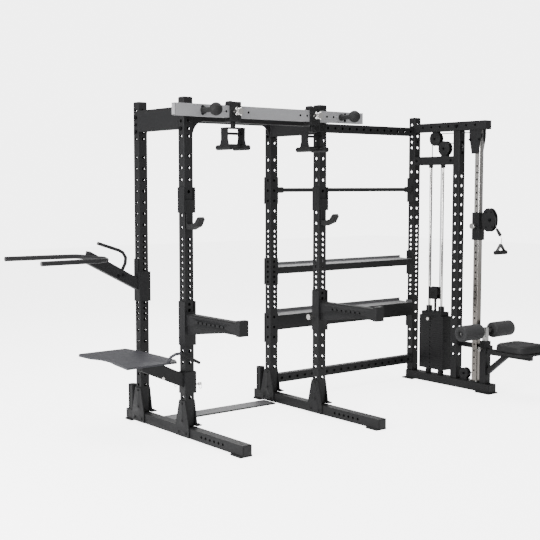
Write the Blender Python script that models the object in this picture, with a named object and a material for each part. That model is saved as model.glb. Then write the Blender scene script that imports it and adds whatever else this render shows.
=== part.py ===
"""Half rack with a cable crossover column, storage bay and rack attachments.

The frame is laid out with the rear left upright's outer rear corner at X 0, Y 0.
X runs to the machine's right, the front is -Y, and the floor is Z 0. At the end
everything is moved so that the origin is at the bottom centre of the machine.
"""
import math

import bmesh
import bpy
from mathutils import Matrix, Vector

# Driving dimensions, in metres
TUBE = 0.072            # side of the square rack tube
HEIGHT = 2.310          # top of the uprights
BAY_WIDTH = 1.192       # left faces of the rear left and rear right uprights
BAY_DEPTH = 0.580       # rear faces of the rear and front uprights
CABLE_X = 2.801         # left face of the cable station's uprights
CABLE_FRONT_Y = -0.514  # rear face of the cable station's front upright
BEAM_BOTTOM = 0.010     # underside of the base beams, on their foot plates
BEAM_TOP = 0.080
GAP = 0.0003            # between faces that touch
PLATE = 0.008           # bracket plate thickness
SLIP = 0.002            # clearance of a sleeve round its tube
ROLLER_END = 3.1495     # outer end of the right foam roller
BEAM_REAR = 0.145       # rear end of the side beams

CENTRE_X = CABLE_X + TUBE / 2          # middle plane of the cable station
FRONT_FACE = -BAY_DEPTH - TUBE         # front face of the front uprights
RACK_MIDDLE = (BAY_WIDTH + TUBE) / 2
COLUMN_SIDE = 0.051
COLUMN_REAR = -0.7456
COLUMN_FRONT = COLUMN_REAR - COLUMN_SIDE
TOP_BEAM = (2.181, 2.254)              # underside and top of the cable top beam
BEAM_Y = (-0.840, -0.795)              # front and rear face of the pull-up beam
BEAM_Z = (2.172, 2.252)
BEAM_HALF = 0.820
STACK_MIDDLE_Y = -0.3045
ROD_SPREAD = 0.0705                    # guide rods either side of the stack's middle
LIFT_CABLE_Y = (-0.248, -0.352)        # the two cable runs down to the floating pulley
CARRIAGE_Z = (1.270, 1.498)
HOUSING_CENTRE = (CENTRE_X, -0.892, 1.440)
HINGE_Y = -0.834                       # upright hinge of the swivelling housing
ROLLER_AXIS = (-0.868, 0.520)          # Y and Z of the foam rollers' axis
SEAT_CENTRE_Y = -1.225
COLLECTION = "cable_crossover_machine"

MATERIALS = {
    "black_coat": ((0.035, 0.035, 0.037), 0.45, 0.0),
    "grey_coat": ((0.33, 0.33, 0.34), 0.4, 0.0),
    "chrome": ((0.62, 0.60, 0.58), 0.12, 1.0),
    "steel": ((0.45, 0.45, 0.46), 0.3, 1.0),
    "rubber": ((0.02, 0.02, 0.02), 0.8, 0.0),
    "foam": ((0.045, 0.045, 0.047), 0.85, 0.0),
    "leather": ((0.05, 0.05, 0.052), 0.55, 0.0),
    "cable": ((0.25, 0.25, 0.26), 0.4, 0.6),
    "stack_paint": ((0.02, 0.02, 0.021), 0.5, 0.0),
}


def clear_scene():
    for obj in list(bpy.data.objects):
        bpy.data.objects.remove(obj, do_unlink=True)


def new_collection():
    collection = bpy.data.collections.new(COLLECTION)
    bpy.context.scene.collection.children.link(collection)


def make_materials():
    for name, (colour, roughness, metallic) in MATERIALS.items():
        material = bpy.data.materials.new(name)
        material.use_nodes = True
        shader = material.node_tree.nodes["Principled BSDF"]
        shader.inputs["Base Color"].default_value = (*colour, 1.0)
        shader.inputs["Roughness"].default_value = roughness
        shader.inputs["Metallic"].default_value = metallic


def mesh_object(build):
    """A loose object from a function that fills a bmesh."""
    bm = bmesh.new()
    build(bm)
    mesh = bpy.data.meshes.new("piece")
    bm.to_mesh(mesh)
    bm.free()
    obj = bpy.data.objects.new("piece", mesh)
    bpy.context.scene.collection.objects.link(obj)
    return obj


def box(x0, x1, y0, y1, z0, z1):
    def build(bm):
        bmesh.ops.create_cube(bm, size=1.0)
        bmesh.ops.scale(bm, vec=(x1 - x0, y1 - y0, z1 - z0), verts=bm.verts)
        bmesh.ops.translate(bm, vec=((x0 + x1) / 2, (y0 + y1) / 2, (z0 + z1) / 2), verts=bm.verts)
    return mesh_object(build)


def rod(start, end, radius, end_radius=None, sides=16):
    start, end = Vector(start), Vector(end)
    turn = (end - start).to_track_quat("Z", "Y").to_matrix().to_4x4()

    def build(bm):
        bmesh.ops.create_cone(
            bm, cap_ends=True, segments=sides, radius1=radius,
            radius2=radius if end_radius is None else end_radius, depth=(end - start).length,
            matrix=Matrix.Translation((start + end) / 2) @ turn)
    return mesh_object(build)


def ball(centre, radius):
    def build(bm):
        bmesh.ops.create_uvsphere(bm, u_segments=16, v_segments=10, radius=radius,
                                  matrix=Matrix.Translation(centre))
    return mesh_object(build)


def curve_to_piece(curve_object):
    """The curve's evaluated mesh as an ordinary mesh object, caps welded."""
    bpy.context.view_layer.update()
    evaluated = curve_object.evaluated_get(bpy.context.evaluated_depsgraph_get())
    mesh = bpy.data.meshes.new_from_object(evaluated)
    mesh.transform(curve_object.matrix_world)
    bm = bmesh.new()
    bm.from_mesh(mesh)
    bmesh.ops.remove_doubles(bm, verts=bm.verts, dist=0.00001)
    bmesh.ops.recalc_face_normals(bm, faces=bm.faces)
    bm.to_mesh(mesh)
    bm.free()
    bpy.data.objects.remove(curve_object, do_unlink=True)
    obj = bpy.data.objects.new("piece", mesh)
    bpy.context.scene.collection.objects.link(obj)
    return obj


def bent_bar(points, radius):
    """A round bar along a chain of points."""
    curve = bpy.data.curves.new("bar", "CURVE")
    curve.dimensions = "3D"
    curve.bevel_depth = radius
    curve.bevel_resolution = 2
    curve.use_fill_caps = True
    spline = curve.splines.new("POLY")
    spline.points.add(len(points) - 1)
    for point, place in zip(spline.points, points):
        point.co = (*place, 1.0)
    obj = bpy.data.objects.new("bar", curve)
    bpy.context.scene.collection.objects.link(obj)
    return curve_to_piece(obj)


def plate(outline, low, high, across):
    """A flat outline given thickness across X, Y or Z.

    The outline is (Y, Z) pairs across X, (X, Z) pairs across Y and (X, Y) pairs across Z.
    """
    curve = bpy.data.curves.new("plate", "CURVE")
    curve.dimensions = "2D"
    curve.fill_mode = "BOTH"
    curve.extrude = (high - low) / 2
    spline = curve.splines.new("POLY")
    spline.points.add(len(outline) - 1)
    for point, (u, v) in zip(spline.points, outline):
        point.co = (u, v, 0.0, 1.0)
    spline.use_cyclic_u = True
    obj = bpy.data.objects.new("plate", curve)
    bpy.context.scene.collection.objects.link(obj)
    middle = (low + high) / 2
    if across == "X":
        axes = Matrix(((0, 0, 1, middle), (1, 0, 0, 0), (0, 1, 0, 0), (0, 0, 0, 1)))
    elif across == "Y":
        axes = Matrix(((1, 0, 0, 0), (0, 0, -1, middle), (0, 1, 0, 0), (0, 0, 0, 1)))
    else:
        axes = Matrix.Translation((0, 0, middle))
    obj.matrix_world = axes
    return curve_to_piece(obj)


def combine(first, other, operation):
    modifier = first.modifiers.new("cut", "BOOLEAN")
    modifier.operation = operation
    modifier.solver = "EXACT"
    modifier.object = other
    bpy.context.view_layer.update()
    evaluated = first.evaluated_get(bpy.context.evaluated_depsgraph_get())
    mesh = bpy.data.meshes.new_from_object(evaluated)
    first.modifiers.clear()
    first.data = mesh
    bpy.data.objects.remove(other, do_unlink=True)


def node(name, material, pieces, cuts=(), origin=(0.0, 0.0, 0.0)):
    """Join the pieces, take the cuts away, and keep the result as one named sub-part."""
    first = pieces[0]
    for piece in pieces[1:]:
        combine(first, piece, "UNION")
    for cut in cuts:
        combine(first, cut, "DIFFERENCE")
    bm = bmesh.new()
    bm.from_mesh(first.data)
    bmesh.ops.remove_doubles(bm, verts=bm.verts, dist=0.00001)
    bmesh.ops.dissolve_limit(bm, angle_limit=0.002, verts=bm.verts, edges=bm.edges)
    bm.to_mesh(first.data)
    bm.free()
    first.data.transform(Matrix.Translation(-Vector(origin)))
    first.location = origin
    first.name = name
    first.data.name = name
    first.data.materials.clear()
    first.data.materials.append(bpy.data.materials[material])
    first.data.shade_smooth()
    first.data.set_sharp_from_angle(angle=math.radians(35))
    bpy.context.scene.collection.objects.unlink(first)
    bpy.data.collections[COLLECTION].objects.link(first)
    return first


def uprights():
    low = BEAM_TOP + GAP
    feet = {
        "upright_rear_left": (0.0, 0.0, HEIGHT),
        "upright_front_left": (0.0, -BAY_DEPTH, HEIGHT),
        "upright_rear_right": (BAY_WIDTH, 0.0, HEIGHT),
        "upright_front_right": (BAY_WIDTH, -BAY_DEPTH, HEIGHT),
        "upright_cable_rear": (CABLE_X, 0.0, HEIGHT),
        "upright_cable_front": (CABLE_X, CABLE_FRONT_Y, TOP_BEAM[0] - GAP),
    }
    for name, (x, y, top) in feet.items():
        node(name, "black_coat", [box(x, x + TUBE, y - TUBE, y, low, top)])


def base_beams():
    """Side beams with a tube for an upright bar behind the rear upright, and foot plates."""
    front, rear = -1.300, BEAM_REAR
    bore, wall_radius, top = 0.027, 0.033, 0.262
    for name, x in (("base_beam_left", 0.0), ("base_beam_right", BAY_WIDTH)):
        middle = x + TUBE / 2
        holder_y = 0.107
        pieces = [box(x, x + TUBE, front, rear, BEAM_BOTTOM, BEAM_TOP)]
        for y0, y1 in ((front + 0.01, front + 0.12), (rear - 0.09, rear - 0.005)):
            pieces.append(box(x - 0.012, x + TUBE + 0.012, y0, y1, 0.0, BEAM_BOTTOM + 0.002))
        pieces.append(rod((middle, holder_y, BEAM_TOP - 0.01), (middle, holder_y, top), wall_radius))
        pieces += base_brackets(x)
        cut = rod((middle, holder_y, BEAM_TOP + 0.01), (middle, holder_y, top + 0.02), bore)
        node(name, "black_coat", pieces, [cut])
    x0, x1 = CENTRE_X - 0.045, CENTRE_X + 0.045
    pieces = [box(x0, x1, -0.950, 0.0, BEAM_BOTTOM, BEAM_TOP)]
    for y0, y1 in ((-0.960, -0.810), (-0.085, 0.035)):
        pieces.append(box(x0 - 0.012, x1 + 0.012, y0, y1, 0.0, BEAM_BOTTOM + 0.002))
    pieces += pulley(-0.655, 0.136, 0.048, (-0.690, -0.620, BEAM_TOP - 0.002, 0.095))
    node("base_beam_cable", "black_coat", pieces)
    inside = (TUBE + 0.0125, BAY_WIDTH - 0.0125)
    node("floor_plate", "black_coat", [box(*inside, -0.150, -0.002, 0.0, 0.012)])


def base_brackets(x):
    """Trapezoid plates bolted across the outer faces of two uprights and their base beam."""
    top, bottom = 0.262, 0.012
    pieces = []
    for y in (0.0, -BAY_DEPTH):
        middle = y - TUBE / 2
        outline = [(middle - 0.082, bottom), (middle - 0.082, bottom + 0.06), (middle - 0.036, top),
                   (middle + 0.036, top), (middle + 0.082, bottom + 0.06), (middle + 0.082, bottom)]
        pieces.append(plate(outline, x - GAP - PLATE, x - GAP, "X"))
        pieces.append(box(x - PLATE, x + 0.004, middle - 0.075, middle + 0.075, bottom + 0.004, BEAM_TOP - 0.006))
        bolts = [(middle, top - 0.022), (middle, top - 0.140), (middle - 0.045, bottom + 0.026),
                 (middle + 0.045, bottom + 0.026)]
        for bolt_y, bolt_z in bolts:
            pieces.append(rod((x - 0.004, bolt_y, bolt_z), (x - PLATE - 0.006, bolt_y, bolt_z), 0.009, sides=6))
    return pieces


def gusset_outline(edge, reach, top, drop, steps=6):
    """Under a crossmember's end: a corner filled with a quarter round."""
    outline = [(edge, top), (edge + reach, top)]
    for step in range(1, steps + 1):
        angle = math.pi / 2 * step / steps
        outline.append((edge + reach * (1 - math.sin(angle)), top - drop * (1 - math.cos(angle))))
    return outline


def top_members():
    left, right = TUBE + GAP, BAY_WIDTH - GAP
    levels = {"crossmember_rear": (-0.066, -0.006, 2.185, 2.255),
              "crossmember_front": (-BAY_DEPTH - 0.066, -BAY_DEPTH - 0.006, 2.154, 2.225)}
    for name, (y0, y1, z0, z1) in levels.items():
        pieces = [box(left, right, y0, y1, z0, z1)]
        for edge, reach in ((left, 0.10), (right, -0.10)):
            outline = gusset_outline(edge, reach, z0 + 0.002, 0.115)
            pieces.append(plate(outline, y0, y0 + PLATE, "Y"))
        node(name, "black_coat", pieces)
    for name, x in (("side_plate_left", 0.0), ("side_plate_right", BAY_WIDTH)):
        node(name, "black_coat",
             [box(x, x + 0.050, -BAY_DEPTH + GAP, -TUBE - GAP, 2.100, 2.250)])
    rail_left, rail_right = BAY_WIDTH + TUBE + GAP, CABLE_X - GAP
    for name, z0, z1 in (("rail_top", 2.153, 2.224), ("rail_bottom", 0.147, 0.218)):
        node(name, "black_coat", [box(rail_left, rail_right, -0.068, -0.004, z0, z1)])
    cable_beams()


def cable_beams():
    """Top beam with the column's head plates and a pulley, and the crossbar with another."""
    y_front = -0.860
    pieces = [box(CENTRE_X - 0.040, CENTRE_X + 0.040, y_front, -TUBE - GAP, *TOP_BEAM)]
    outline = [(-0.688, TOP_BEAM[0] + 0.002), (-0.812, TOP_BEAM[0] + 0.002), (-0.812, 2.120),
               (-0.784, 1.983), (-0.716, 1.983), (-0.688, 2.120)]
    half = COLUMN_SIDE / 2
    for x in (CENTRE_X - half - GAP - PLATE, CENTRE_X + half + GAP):
        pieces.append(plate(outline, x, x + PLATE, "X"))
    pieces += pulley(-0.293, 2.121, 0.062, (-0.320, -0.266, 2.170, TOP_BEAM[0] + 0.002))
    node("top_beam_cable", "black_coat", pieces)
    pieces = [box(CABLE_X, CABLE_X + TUBE, CABLE_FRONT_Y + GAP, -TUBE - GAP, 1.897, 1.969)]
    pieces += pulley(-0.397, 2.036, 0.064, (-0.425, -0.369, 1.967, 1.986))
    cuts = [rod((CENTRE_X, y, 1.88), (CENTRE_X, y, 1.99), 0.007, sides=12) for y in LIFT_CABLE_Y]
    node("crossbar_cable", "black_coat", pieces, cuts)


def pull_up_beam():
    y0, y1 = BEAM_Y
    pieces = [box(RACK_MIDDLE - BEAM_HALF, RACK_MIDDLE + BEAM_HALF, y0, y1, *BEAM_Z)]
    for x in (0.0, BAY_WIDTH):
        pieces.append(box(x + 0.006, x + TUBE - 0.006, y1 - 0.002, FRONT_FACE - GAP,
                          BEAM_Z[0] + 0.008, BEAM_Z[1] - 0.008))
    for side in (-1, 1):
        x, z = RACK_MIDDLE + side * 0.603, 2.212
        pieces += [rod((x, y0 + 0.004, z), (x, y0 - 0.010, z), 0.020),
                   rod((x, y0 - 0.008, z), (x, y0 - 0.115, z), 0.0115),
                   ball((x, y0 - 0.135, z), 0.033)]
    node("pull_up_beam", "grey_coat", pieces)


def hanging_handles():
    """Clamp that slides along the beam, its chrome knob, and a swivelling two-grip yoke."""
    y0, y1 = BEAM_Y
    axis_y = (y0 + y1) / 2
    half = 0.045
    clamp_z = (2.146, 2.279)
    inner = (BEAM_Z[0] - SLIP, BEAM_Z[1] + SLIP)
    for name, side in (("left", -1), ("right", 1)):
        x = RACK_MIDDLE + side * 0.349
        x0, x1 = x - half, x + half
        pieces = [box(x0, x1, y0 - SLIP - PLATE, y0 - SLIP, *clamp_z),
                  box(x0, x1, y0 - SLIP - 0.002, y1 + SLIP + 0.002, inner[1], inner[1] + PLATE),
                  box(x0, x1, y0 - SLIP - 0.002, y1 + SLIP + 0.002, clamp_z[0], inner[0]),
                  box(x0, x1, y1 + SLIP, y1 + SLIP + PLATE, clamp_z[0], inner[1] + PLATE)]
        face = y0 - SLIP - PLATE
        pieces += [rod((x, face + 0.003, 2.212), (x, face - 0.030, 2.212), 0.011),
                   rod((x, face - 0.026, 2.212), (x, face - 0.060, 2.212), 0.009, 0.021)]
        node("beam_clamp_" + name, "black_coat", pieces, origin=(x, axis_y, 2.212))
        top = clamp_z[0] - GAP
        leg = 0.070
        grip_z = 1.975
        pieces = [rod((x, axis_y, top), (x, axis_y, 2.102), 0.017),
                  box(x - leg - 0.004, x + leg + 0.004, axis_y - 0.038, axis_y + 0.038, 2.100, 2.108),
                  rod((x - leg, axis_y, 2.068), (x + leg, axis_y, 2.068), 0.009),
                  rod((x - leg, axis_y, 1.990), (x + leg, axis_y, 1.990), 0.010)]
        for leg_x in (x - leg, x + leg):
            outline = [(axis_y - 0.038, 2.108), (axis_y - 0.036, 2.030), (axis_y - 0.046, 2.000),
                       (axis_y - 0.066, grip_z), (axis_y + 0.066, grip_z), (axis_y + 0.046, 2.000),
                       (axis_y + 0.036, 2.030), (axis_y + 0.038, 2.108)]
            pieces.append(plate(outline, leg_x - 0.004, leg_x + 0.004, "X"))
            pieces.append(rod((leg_x, axis_y - 0.080, grip_z), (leg_x, axis_y + 0.080, grip_z), 0.018))
        node("handle_yoke_" + name, "black_coat", pieces, origin=(x, axis_y, top))


def sleeve(x, y_rear, low, high, front_low, front_high):
    """Three plates round an upright's left, front and right faces."""
    y_front = y_rear - TUBE
    back = y_rear - 0.004
    outer = y_front - SLIP - PLATE
    return [box(x - SLIP - PLATE, x + TUBE + SLIP + PLATE, outer, y_front - SLIP, front_low, front_high),
            box(x - SLIP - PLATE, x - SLIP, outer, back, low, high),
            box(x + TUBE + SLIP, x + TUBE + SLIP + PLATE, outer, back, low, high)]


def j_hooks():
    for name, x in (("left", 0.0), ("right", BAY_WIDTH)):
        middle = x + TUBE / 2
        face = FRONT_FACE - SLIP - PLATE
        hook = [(face + 0.002, 1.432), (face - 0.035, 1.426), (-0.775, 1.452), (-0.808, 1.498),
                (-0.792, 1.515), (-0.772, 1.500), (-0.752, 1.476), (-0.700, 1.462), (face + 0.002, 1.466)]
        pieces = sleeve(x, -BAY_DEPTH, 1.539, 1.711, 1.539, 1.625)
        pieces.append(box(middle - 0.024, middle + 0.024, face, face + PLATE, 1.433, 1.60))
        pieces.append(plate(hook, middle - 0.024, middle + 0.024, "X"))
        node("j_hook_" + name, "black_coat", pieces, origin=(middle, FRONT_FACE, 1.54))


def spotter_arms():
    for name, x in (("left", 0.0), ("right", BAY_WIDTH)):
        middle = x + TUBE / 2
        face = FRONT_FACE - SLIP - PLATE
        brace = [(face + 0.002, 0.715), (-1.060, 0.770), (-1.060, 0.780), (face + 0.002, 0.780)]
        pieces = sleeve(x, -BAY_DEPTH, 0.641, 0.942, 0.641, 0.870)
        pieces.append(box(middle - 0.030, middle + 0.030, -1.230, face + 0.002, 0.775, 0.852))
        pieces.append(plate(brace, middle - 0.022, middle + 0.022, "X"))
        pieces.append(box(x, x + TUBE, -1.268, -1.228, 0.770, 0.872))
        pin_y = -BAY_DEPTH - TUBE / 2
        start = x - SLIP - PLATE
        if name == "right":
            pieces += [rod((start + 0.004, pin_y, 0.745), (start - 0.022, pin_y, 0.745), 0.008),
                       rod((start - 0.020, pin_y, 0.745), (start - 0.062, pin_y, 0.745), 0.009, 0.021)]
        node("spotter_arm_" + name, "black_coat", pieces, origin=(middle, FRONT_FACE, 0.80))


def dip_station():
    """Sleeve on the rear left upright, a rising arm and two parallel bars pointing left."""
    y_front = -TUBE
    pieces = sleeve(0.0, 0.0, 0.892, 1.105, 0.892, 1.105)
    pieces.append(box(-SLIP - PLATE, -SLIP, -0.060, -0.004, 1.10, 1.196))
    arm_y = (-0.066, -0.006)
    arm = [(-SLIP - 0.002, 0.972), (-0.415, 1.186), (-0.395, 1.268), (-SLIP - 0.002, 1.056)]
    pieces.append(plate(arm, *arm_y, "Y"))
    bar_z = 1.232
    near, far = -0.475, 0.012
    bars = [(-0.965, far + 0.050, bar_z), (-0.62, far + 0.018, bar_z), (-0.470, far - 0.010, bar_z),
            (-0.425, far - 0.040, bar_z - 0.004), (-0.405, -0.12, bar_z - 0.006), (-0.430, -0.33, bar_z),
            (-0.465, -0.42, bar_z), (-0.540, near + 0.005, bar_z), (-0.966, near - 0.010, bar_z)]
    pieces.append(bent_bar(bars, 0.0165))
    lever = [(-0.140, -0.036, 1.095), (-0.100, -0.036, 1.170), (-0.096, -0.036, 1.210),
             (-0.118, -0.036, 1.246), (-0.150, -0.036, 1.264), (-0.320, -0.036, 1.320)]
    pieces.append(bent_bar(lever, 0.0125))
    node("dip_station", "black_coat", pieces, origin=(TUBE / 2, -TUBE / 2, 1.0))


def step_platform():
    """Sleeve on the front left upright, a rising arm and a wide foot plate beside the rack."""
    pieces = sleeve(0.0, -BAY_DEPTH, 0.311, 0.461, 0.311, 0.461)
    arm_y = (FRONT_FACE + 0.006, -BAY_DEPTH - 0.006)
    arm = [(-SLIP - 0.002, 0.355), (-0.335, 0.500), (-0.335, 0.524), (-0.165, 0.524), (-SLIP - 0.002, 0.448)]
    pieces.append(plate(arm, *arm_y, "Y"))
    node("step_arm", "black_coat", pieces, origin=(TUBE / 2, -BAY_DEPTH - TUBE / 2, 0.38))
    low = 0.524 + GAP
    outline = [(-0.455, -0.655), (-0.060, -0.640), (-0.020, -0.560), (-0.014, -0.410), (-0.014, -0.070),
               (-0.040, 0.080), (-0.420, 0.070), (-0.450, 0.020), (-0.440, -0.130), (-0.405, -0.220),
               (-0.400, -0.330), (-0.425, -0.450)]
    pieces = [plate(outline, low, low + 0.012, "Z")]
    lever = [(-0.120, -0.620, low + 0.006), (-0.115, -0.650, 0.575), (-0.095, -0.676, 0.596),
             (-0.060, -0.686, 0.600), (0.090, -0.690, 0.520)]
    pieces.append(bent_bar(lever, 0.011))
    node("step_plate", "grey_coat", pieces, origin=(-0.2, -0.3, low))


def bay_bracket(x, side, low, high):
    """Plates on an upright's side and rear faces, from which a bar or tray is hung."""
    face = x + TUBE if side > 0 else x
    near, far = sorted((face + side * GAP, face + side * (GAP + PLATE)))
    y_back = GAP
    wide = sorted((x - 0.004, x + TUBE + 0.004, near, far))
    return [box(near, far, -TUBE + 0.004, y_back + PLATE, low, high),
            box(wide[0], wide[-1], y_back, y_back + PLATE, low, high)]


def storage_bay():
    left, right = BAY_WIDTH + TUBE, CABLE_X
    middle_y, bar_z = -TUBE / 2, 1.686
    pieces = bay_bracket(BAY_WIDTH, 1, 1.576, 1.788) + bay_bracket(CABLE_X, -1, 1.576, 1.788)
    pieces.append(rod((left + PLATE, middle_y, bar_z), (right - PLATE, middle_y, bar_z), 0.016))
    pieces.append(rod((left + 0.004, middle_y, bar_z), (left + 0.075, middle_y, bar_z), 0.024))
    pieces.append(rod((right - 0.075, middle_y, bar_z), (right - 0.004, middle_y, bar_z), 0.024))
    node("storage_bar", "black_coat", pieces)
    trays = {"tray_upper": (1.021, 1.076, 1.102, (0.938, 1.148)),
             "tray_lower": (0.575, 0.690, 0.720, (0.475, 0.710))}
    sheet = 0.005
    for name, (low, deck, lip, levels) in trays.items():
        x0, x1 = left + 0.006, right - 0.006
        profile = [(-0.068, low), (-0.068, deck), (0.088, deck + 0.006), (0.088, lip),
                   (0.088 + sheet, lip), (0.088 + sheet, deck + 0.001), (0.050, deck + 0.001 - sheet),
                   (-0.068 + sheet, deck - sheet), (-0.068 + sheet, low + sheet),
                   (-0.030, low + sheet), (-0.030, low)]
        pieces = bay_bracket(BAY_WIDTH, 1, *levels) + bay_bracket(CABLE_X, -1, *levels)
        pieces.append(plate(profile, x0, x1, "X"))
        node(name, "black_coat", pieces)


def column():
    half = COLUMN_SIDE / 2
    pieces = [box(CENTRE_X - half, CENTRE_X + half, COLUMN_FRONT, COLUMN_REAR, BEAM_TOP + GAP,
                  TOP_BEAM[0] - GAP)]
    node("column", "chrome", pieces)


def pulley(y, z, radius, hang):
    """Two round cheeks with the wheel's bolt between them, joined by a block at the beam."""
    half = 0.018
    pieces = [rod((CENTRE_X - half - 0.004, y, z), (CENTRE_X - half, y, z), radius),
              rod((CENTRE_X + half, y, z), (CENTRE_X + half + 0.004, y, z), radius),
              rod((CENTRE_X - half - 0.010, y, z), (CENTRE_X + half + 0.010, y, z), 0.008)]
    y0, y1, z0, z1 = hang
    pieces.append(box(CENTRE_X - half - 0.004, CENTRE_X + half + 0.004, y0, y1, z0, z1))
    return pieces


def wheel(name, y, z, radius):
    pieces = [rod((CENTRE_X - 0.012, y, z), (CENTRE_X + 0.012, y, z), radius, sides=20)]
    bore = rod((CENTRE_X - 0.02, y, z), (CENTRE_X + 0.02, y, z), 0.0095, sides=12)
    node(name, "rubber", pieces, [bore], origin=(CENTRE_X, y, z))


def cable_station():
    wheel("wheel_top", -0.293, 2.121, 0.045)
    wheel("wheel_middle", -0.397, 2.036, 0.045)
    wheel("wheel_base", -0.655, 0.136, 0.036)
    for name, side in (("rear", 1), ("front", -1)):
        y = STACK_MIDDLE_Y + side * ROD_SPREAD
        low, high = BEAM_TOP + GAP, 1.897 - GAP
        node("guide_rod_" + name, "chrome", [rod((CENTRE_X, y, low), (CENTRE_X, y, high), 0.0105)])
    weight_stack()
    lift_unit()


def weight_stack():
    """The resting plates on their two stand-offs, bored for the guide rods."""
    low, high = 0.128, 0.596
    y0, y1 = STACK_MIDDLE_Y - 0.138, STACK_MIDDLE_Y + 0.138
    pieces = [box(CENTRE_X - 0.050, CENTRE_X + 0.050, y0, y1, low, high)]
    cuts = []
    for side in (-1, 1):
        y = STACK_MIDDLE_Y + side * ROD_SPREAD
        pieces.append(rod((CENTRE_X, y, BEAM_TOP + GAP), (CENTRE_X, y, low + 0.002), 0.028))
        cuts.append(rod((CENTRE_X, y, 0.05), (CENTRE_X, y, high + 0.02), 0.0125))
    node("weight_stack", "stack_paint", pieces, cuts)


def lift_unit():
    """Top plate with bushings, stem and floating pulley, which rise together."""
    low = 0.596 + GAP
    pieces = [box(CENTRE_X - 0.048, CENTRE_X + 0.048, STACK_MIDDLE_Y - 0.115, STACK_MIDDLE_Y + 0.115,
                  low, 0.630)]
    cuts = []
    for side in (-1, 1):
        y = STACK_MIDDLE_Y + side * ROD_SPREAD
        pieces.append(rod((CENTRE_X, y, 0.625), (CENTRE_X, y, 0.676), 0.027))
        cuts.append(rod((CENTRE_X, y, 0.55), (CENTRE_X, y, 0.72), 0.0125))
    pieces.append(rod((CENTRE_X, STACK_MIDDLE_Y, 0.625), (CENTRE_X, STACK_MIDDLE_Y, 0.735), 0.011))
    node("stack_top_plate", "stack_paint", pieces, cuts, origin=(CENTRE_X, STACK_MIDDLE_Y, low))
    middle = STACK_MIDDLE_Y + 0.012
    half = 0.020
    low_z, high_z = 0.735 + GAP, 0.843
    pieces = [box(CENTRE_X - half - 0.005, CENTRE_X - half, middle - 0.050, middle + 0.050, low_z, high_z),
              box(CENTRE_X + half, CENTRE_X + half + 0.005, middle - 0.050, middle + 0.050, low_z, high_z),
              box(CENTRE_X - half - 0.005, CENTRE_X + half + 0.005, middle - 0.030, middle + 0.020,
                  low_z, low_z + 0.008),
              rod((CENTRE_X - half - 0.010, middle, 0.793), (CENTRE_X + half + 0.010, middle, 0.793), 0.008)]
    node("float_block", "black_coat", pieces, origin=(CENTRE_X, middle, low_z))
    wheel("wheel_float", middle, 0.793, 0.042)
    face = CENTRE_X - 0.050 - GAP
    pin_z = 0.568
    pieces = [rod((face, STACK_MIDDLE_Y + 0.012, pin_z), (face - 0.010, STACK_MIDDLE_Y + 0.012, pin_z), 0.008),
              rod((face - 0.008, STACK_MIDDLE_Y + 0.012, pin_z), (face - 0.034, STACK_MIDDLE_Y + 0.012, pin_z),
                  0.0145)]
    node("selector_pin", "chrome", pieces, origin=(face, STACK_MIDDLE_Y + 0.012, pin_z))


def carriage():
    """Sleeve on the column with a pull pin, and the swivelling pulley housing."""
    half = COLUMN_SIDE / 2 + SLIP
    wall = 0.009
    y0, y1 = COLUMN_FRONT - SLIP, COLUMN_REAR + SLIP
    z0, z1 = CARRIAGE_Z
    pieces = [box(CENTRE_X - half - wall, CENTRE_X + half + wall, y0 - wall, y1 + wall, z0, z1)]
    for low in (1.355, 1.484):
        pieces.append(box(CENTRE_X - 0.009, CENTRE_X + 0.009, HINGE_Y - 0.008, y0 - wall + 0.002,
                          low, low + 0.013))
    cut = box(CENTRE_X - half, CENTRE_X + half, y0, y1, z0 - 0.02, z1 + 0.02)
    node("carriage", "black_coat", pieces, [cut], origin=(CENTRE_X, (y0 + y1) / 2, z0))
    pin_y, pin_z = -0.771, 1.387
    start = CENTRE_X - half - wall - GAP
    pieces = [rod((start, pin_y, pin_z), (start - 0.018, pin_y, pin_z), 0.012),
              rod((start - 0.016, pin_y, pin_z), (start - 0.048, pin_y, pin_z), 0.024)]
    node("carriage_pin", "chrome", pieces, origin=(start, pin_y, pin_z))
    housing()
    handle()


def housing():
    """Two round cheeks on a vertical hinge post in front of the carriage."""
    x, y, z = HOUSING_CENTRE
    pieces = [rod((x, HINGE_Y, 1.370), (x, HINGE_Y, 1.482), 0.0125)]
    steps = 20
    outline = [(y + 0.070 * math.cos(2 * math.pi * step / steps),
                z + 0.098 * math.sin(2 * math.pi * step / steps)) for step in range(steps)]
    for low in (x - 0.022, x + 0.017):
        pieces.append(plate(outline, low, low + 0.005, "X"))
    pieces.append(box(x - 0.020, x + 0.020, HINGE_Y - 0.016, HINGE_Y + 0.004, 1.385, 1.465))
    node("swivel_housing", "black_coat", pieces, origin=(x, HINGE_Y, z))
    wheel_y, wheel_z = y - 0.018, 1.440
    pieces = [rod((x - 0.013, wheel_y, wheel_z), (x + 0.013, wheel_y, wheel_z), 0.044, sides=20)]
    node("wheel_swivel", "rubber", pieces, origin=(x, wheel_y, wheel_z))


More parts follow.
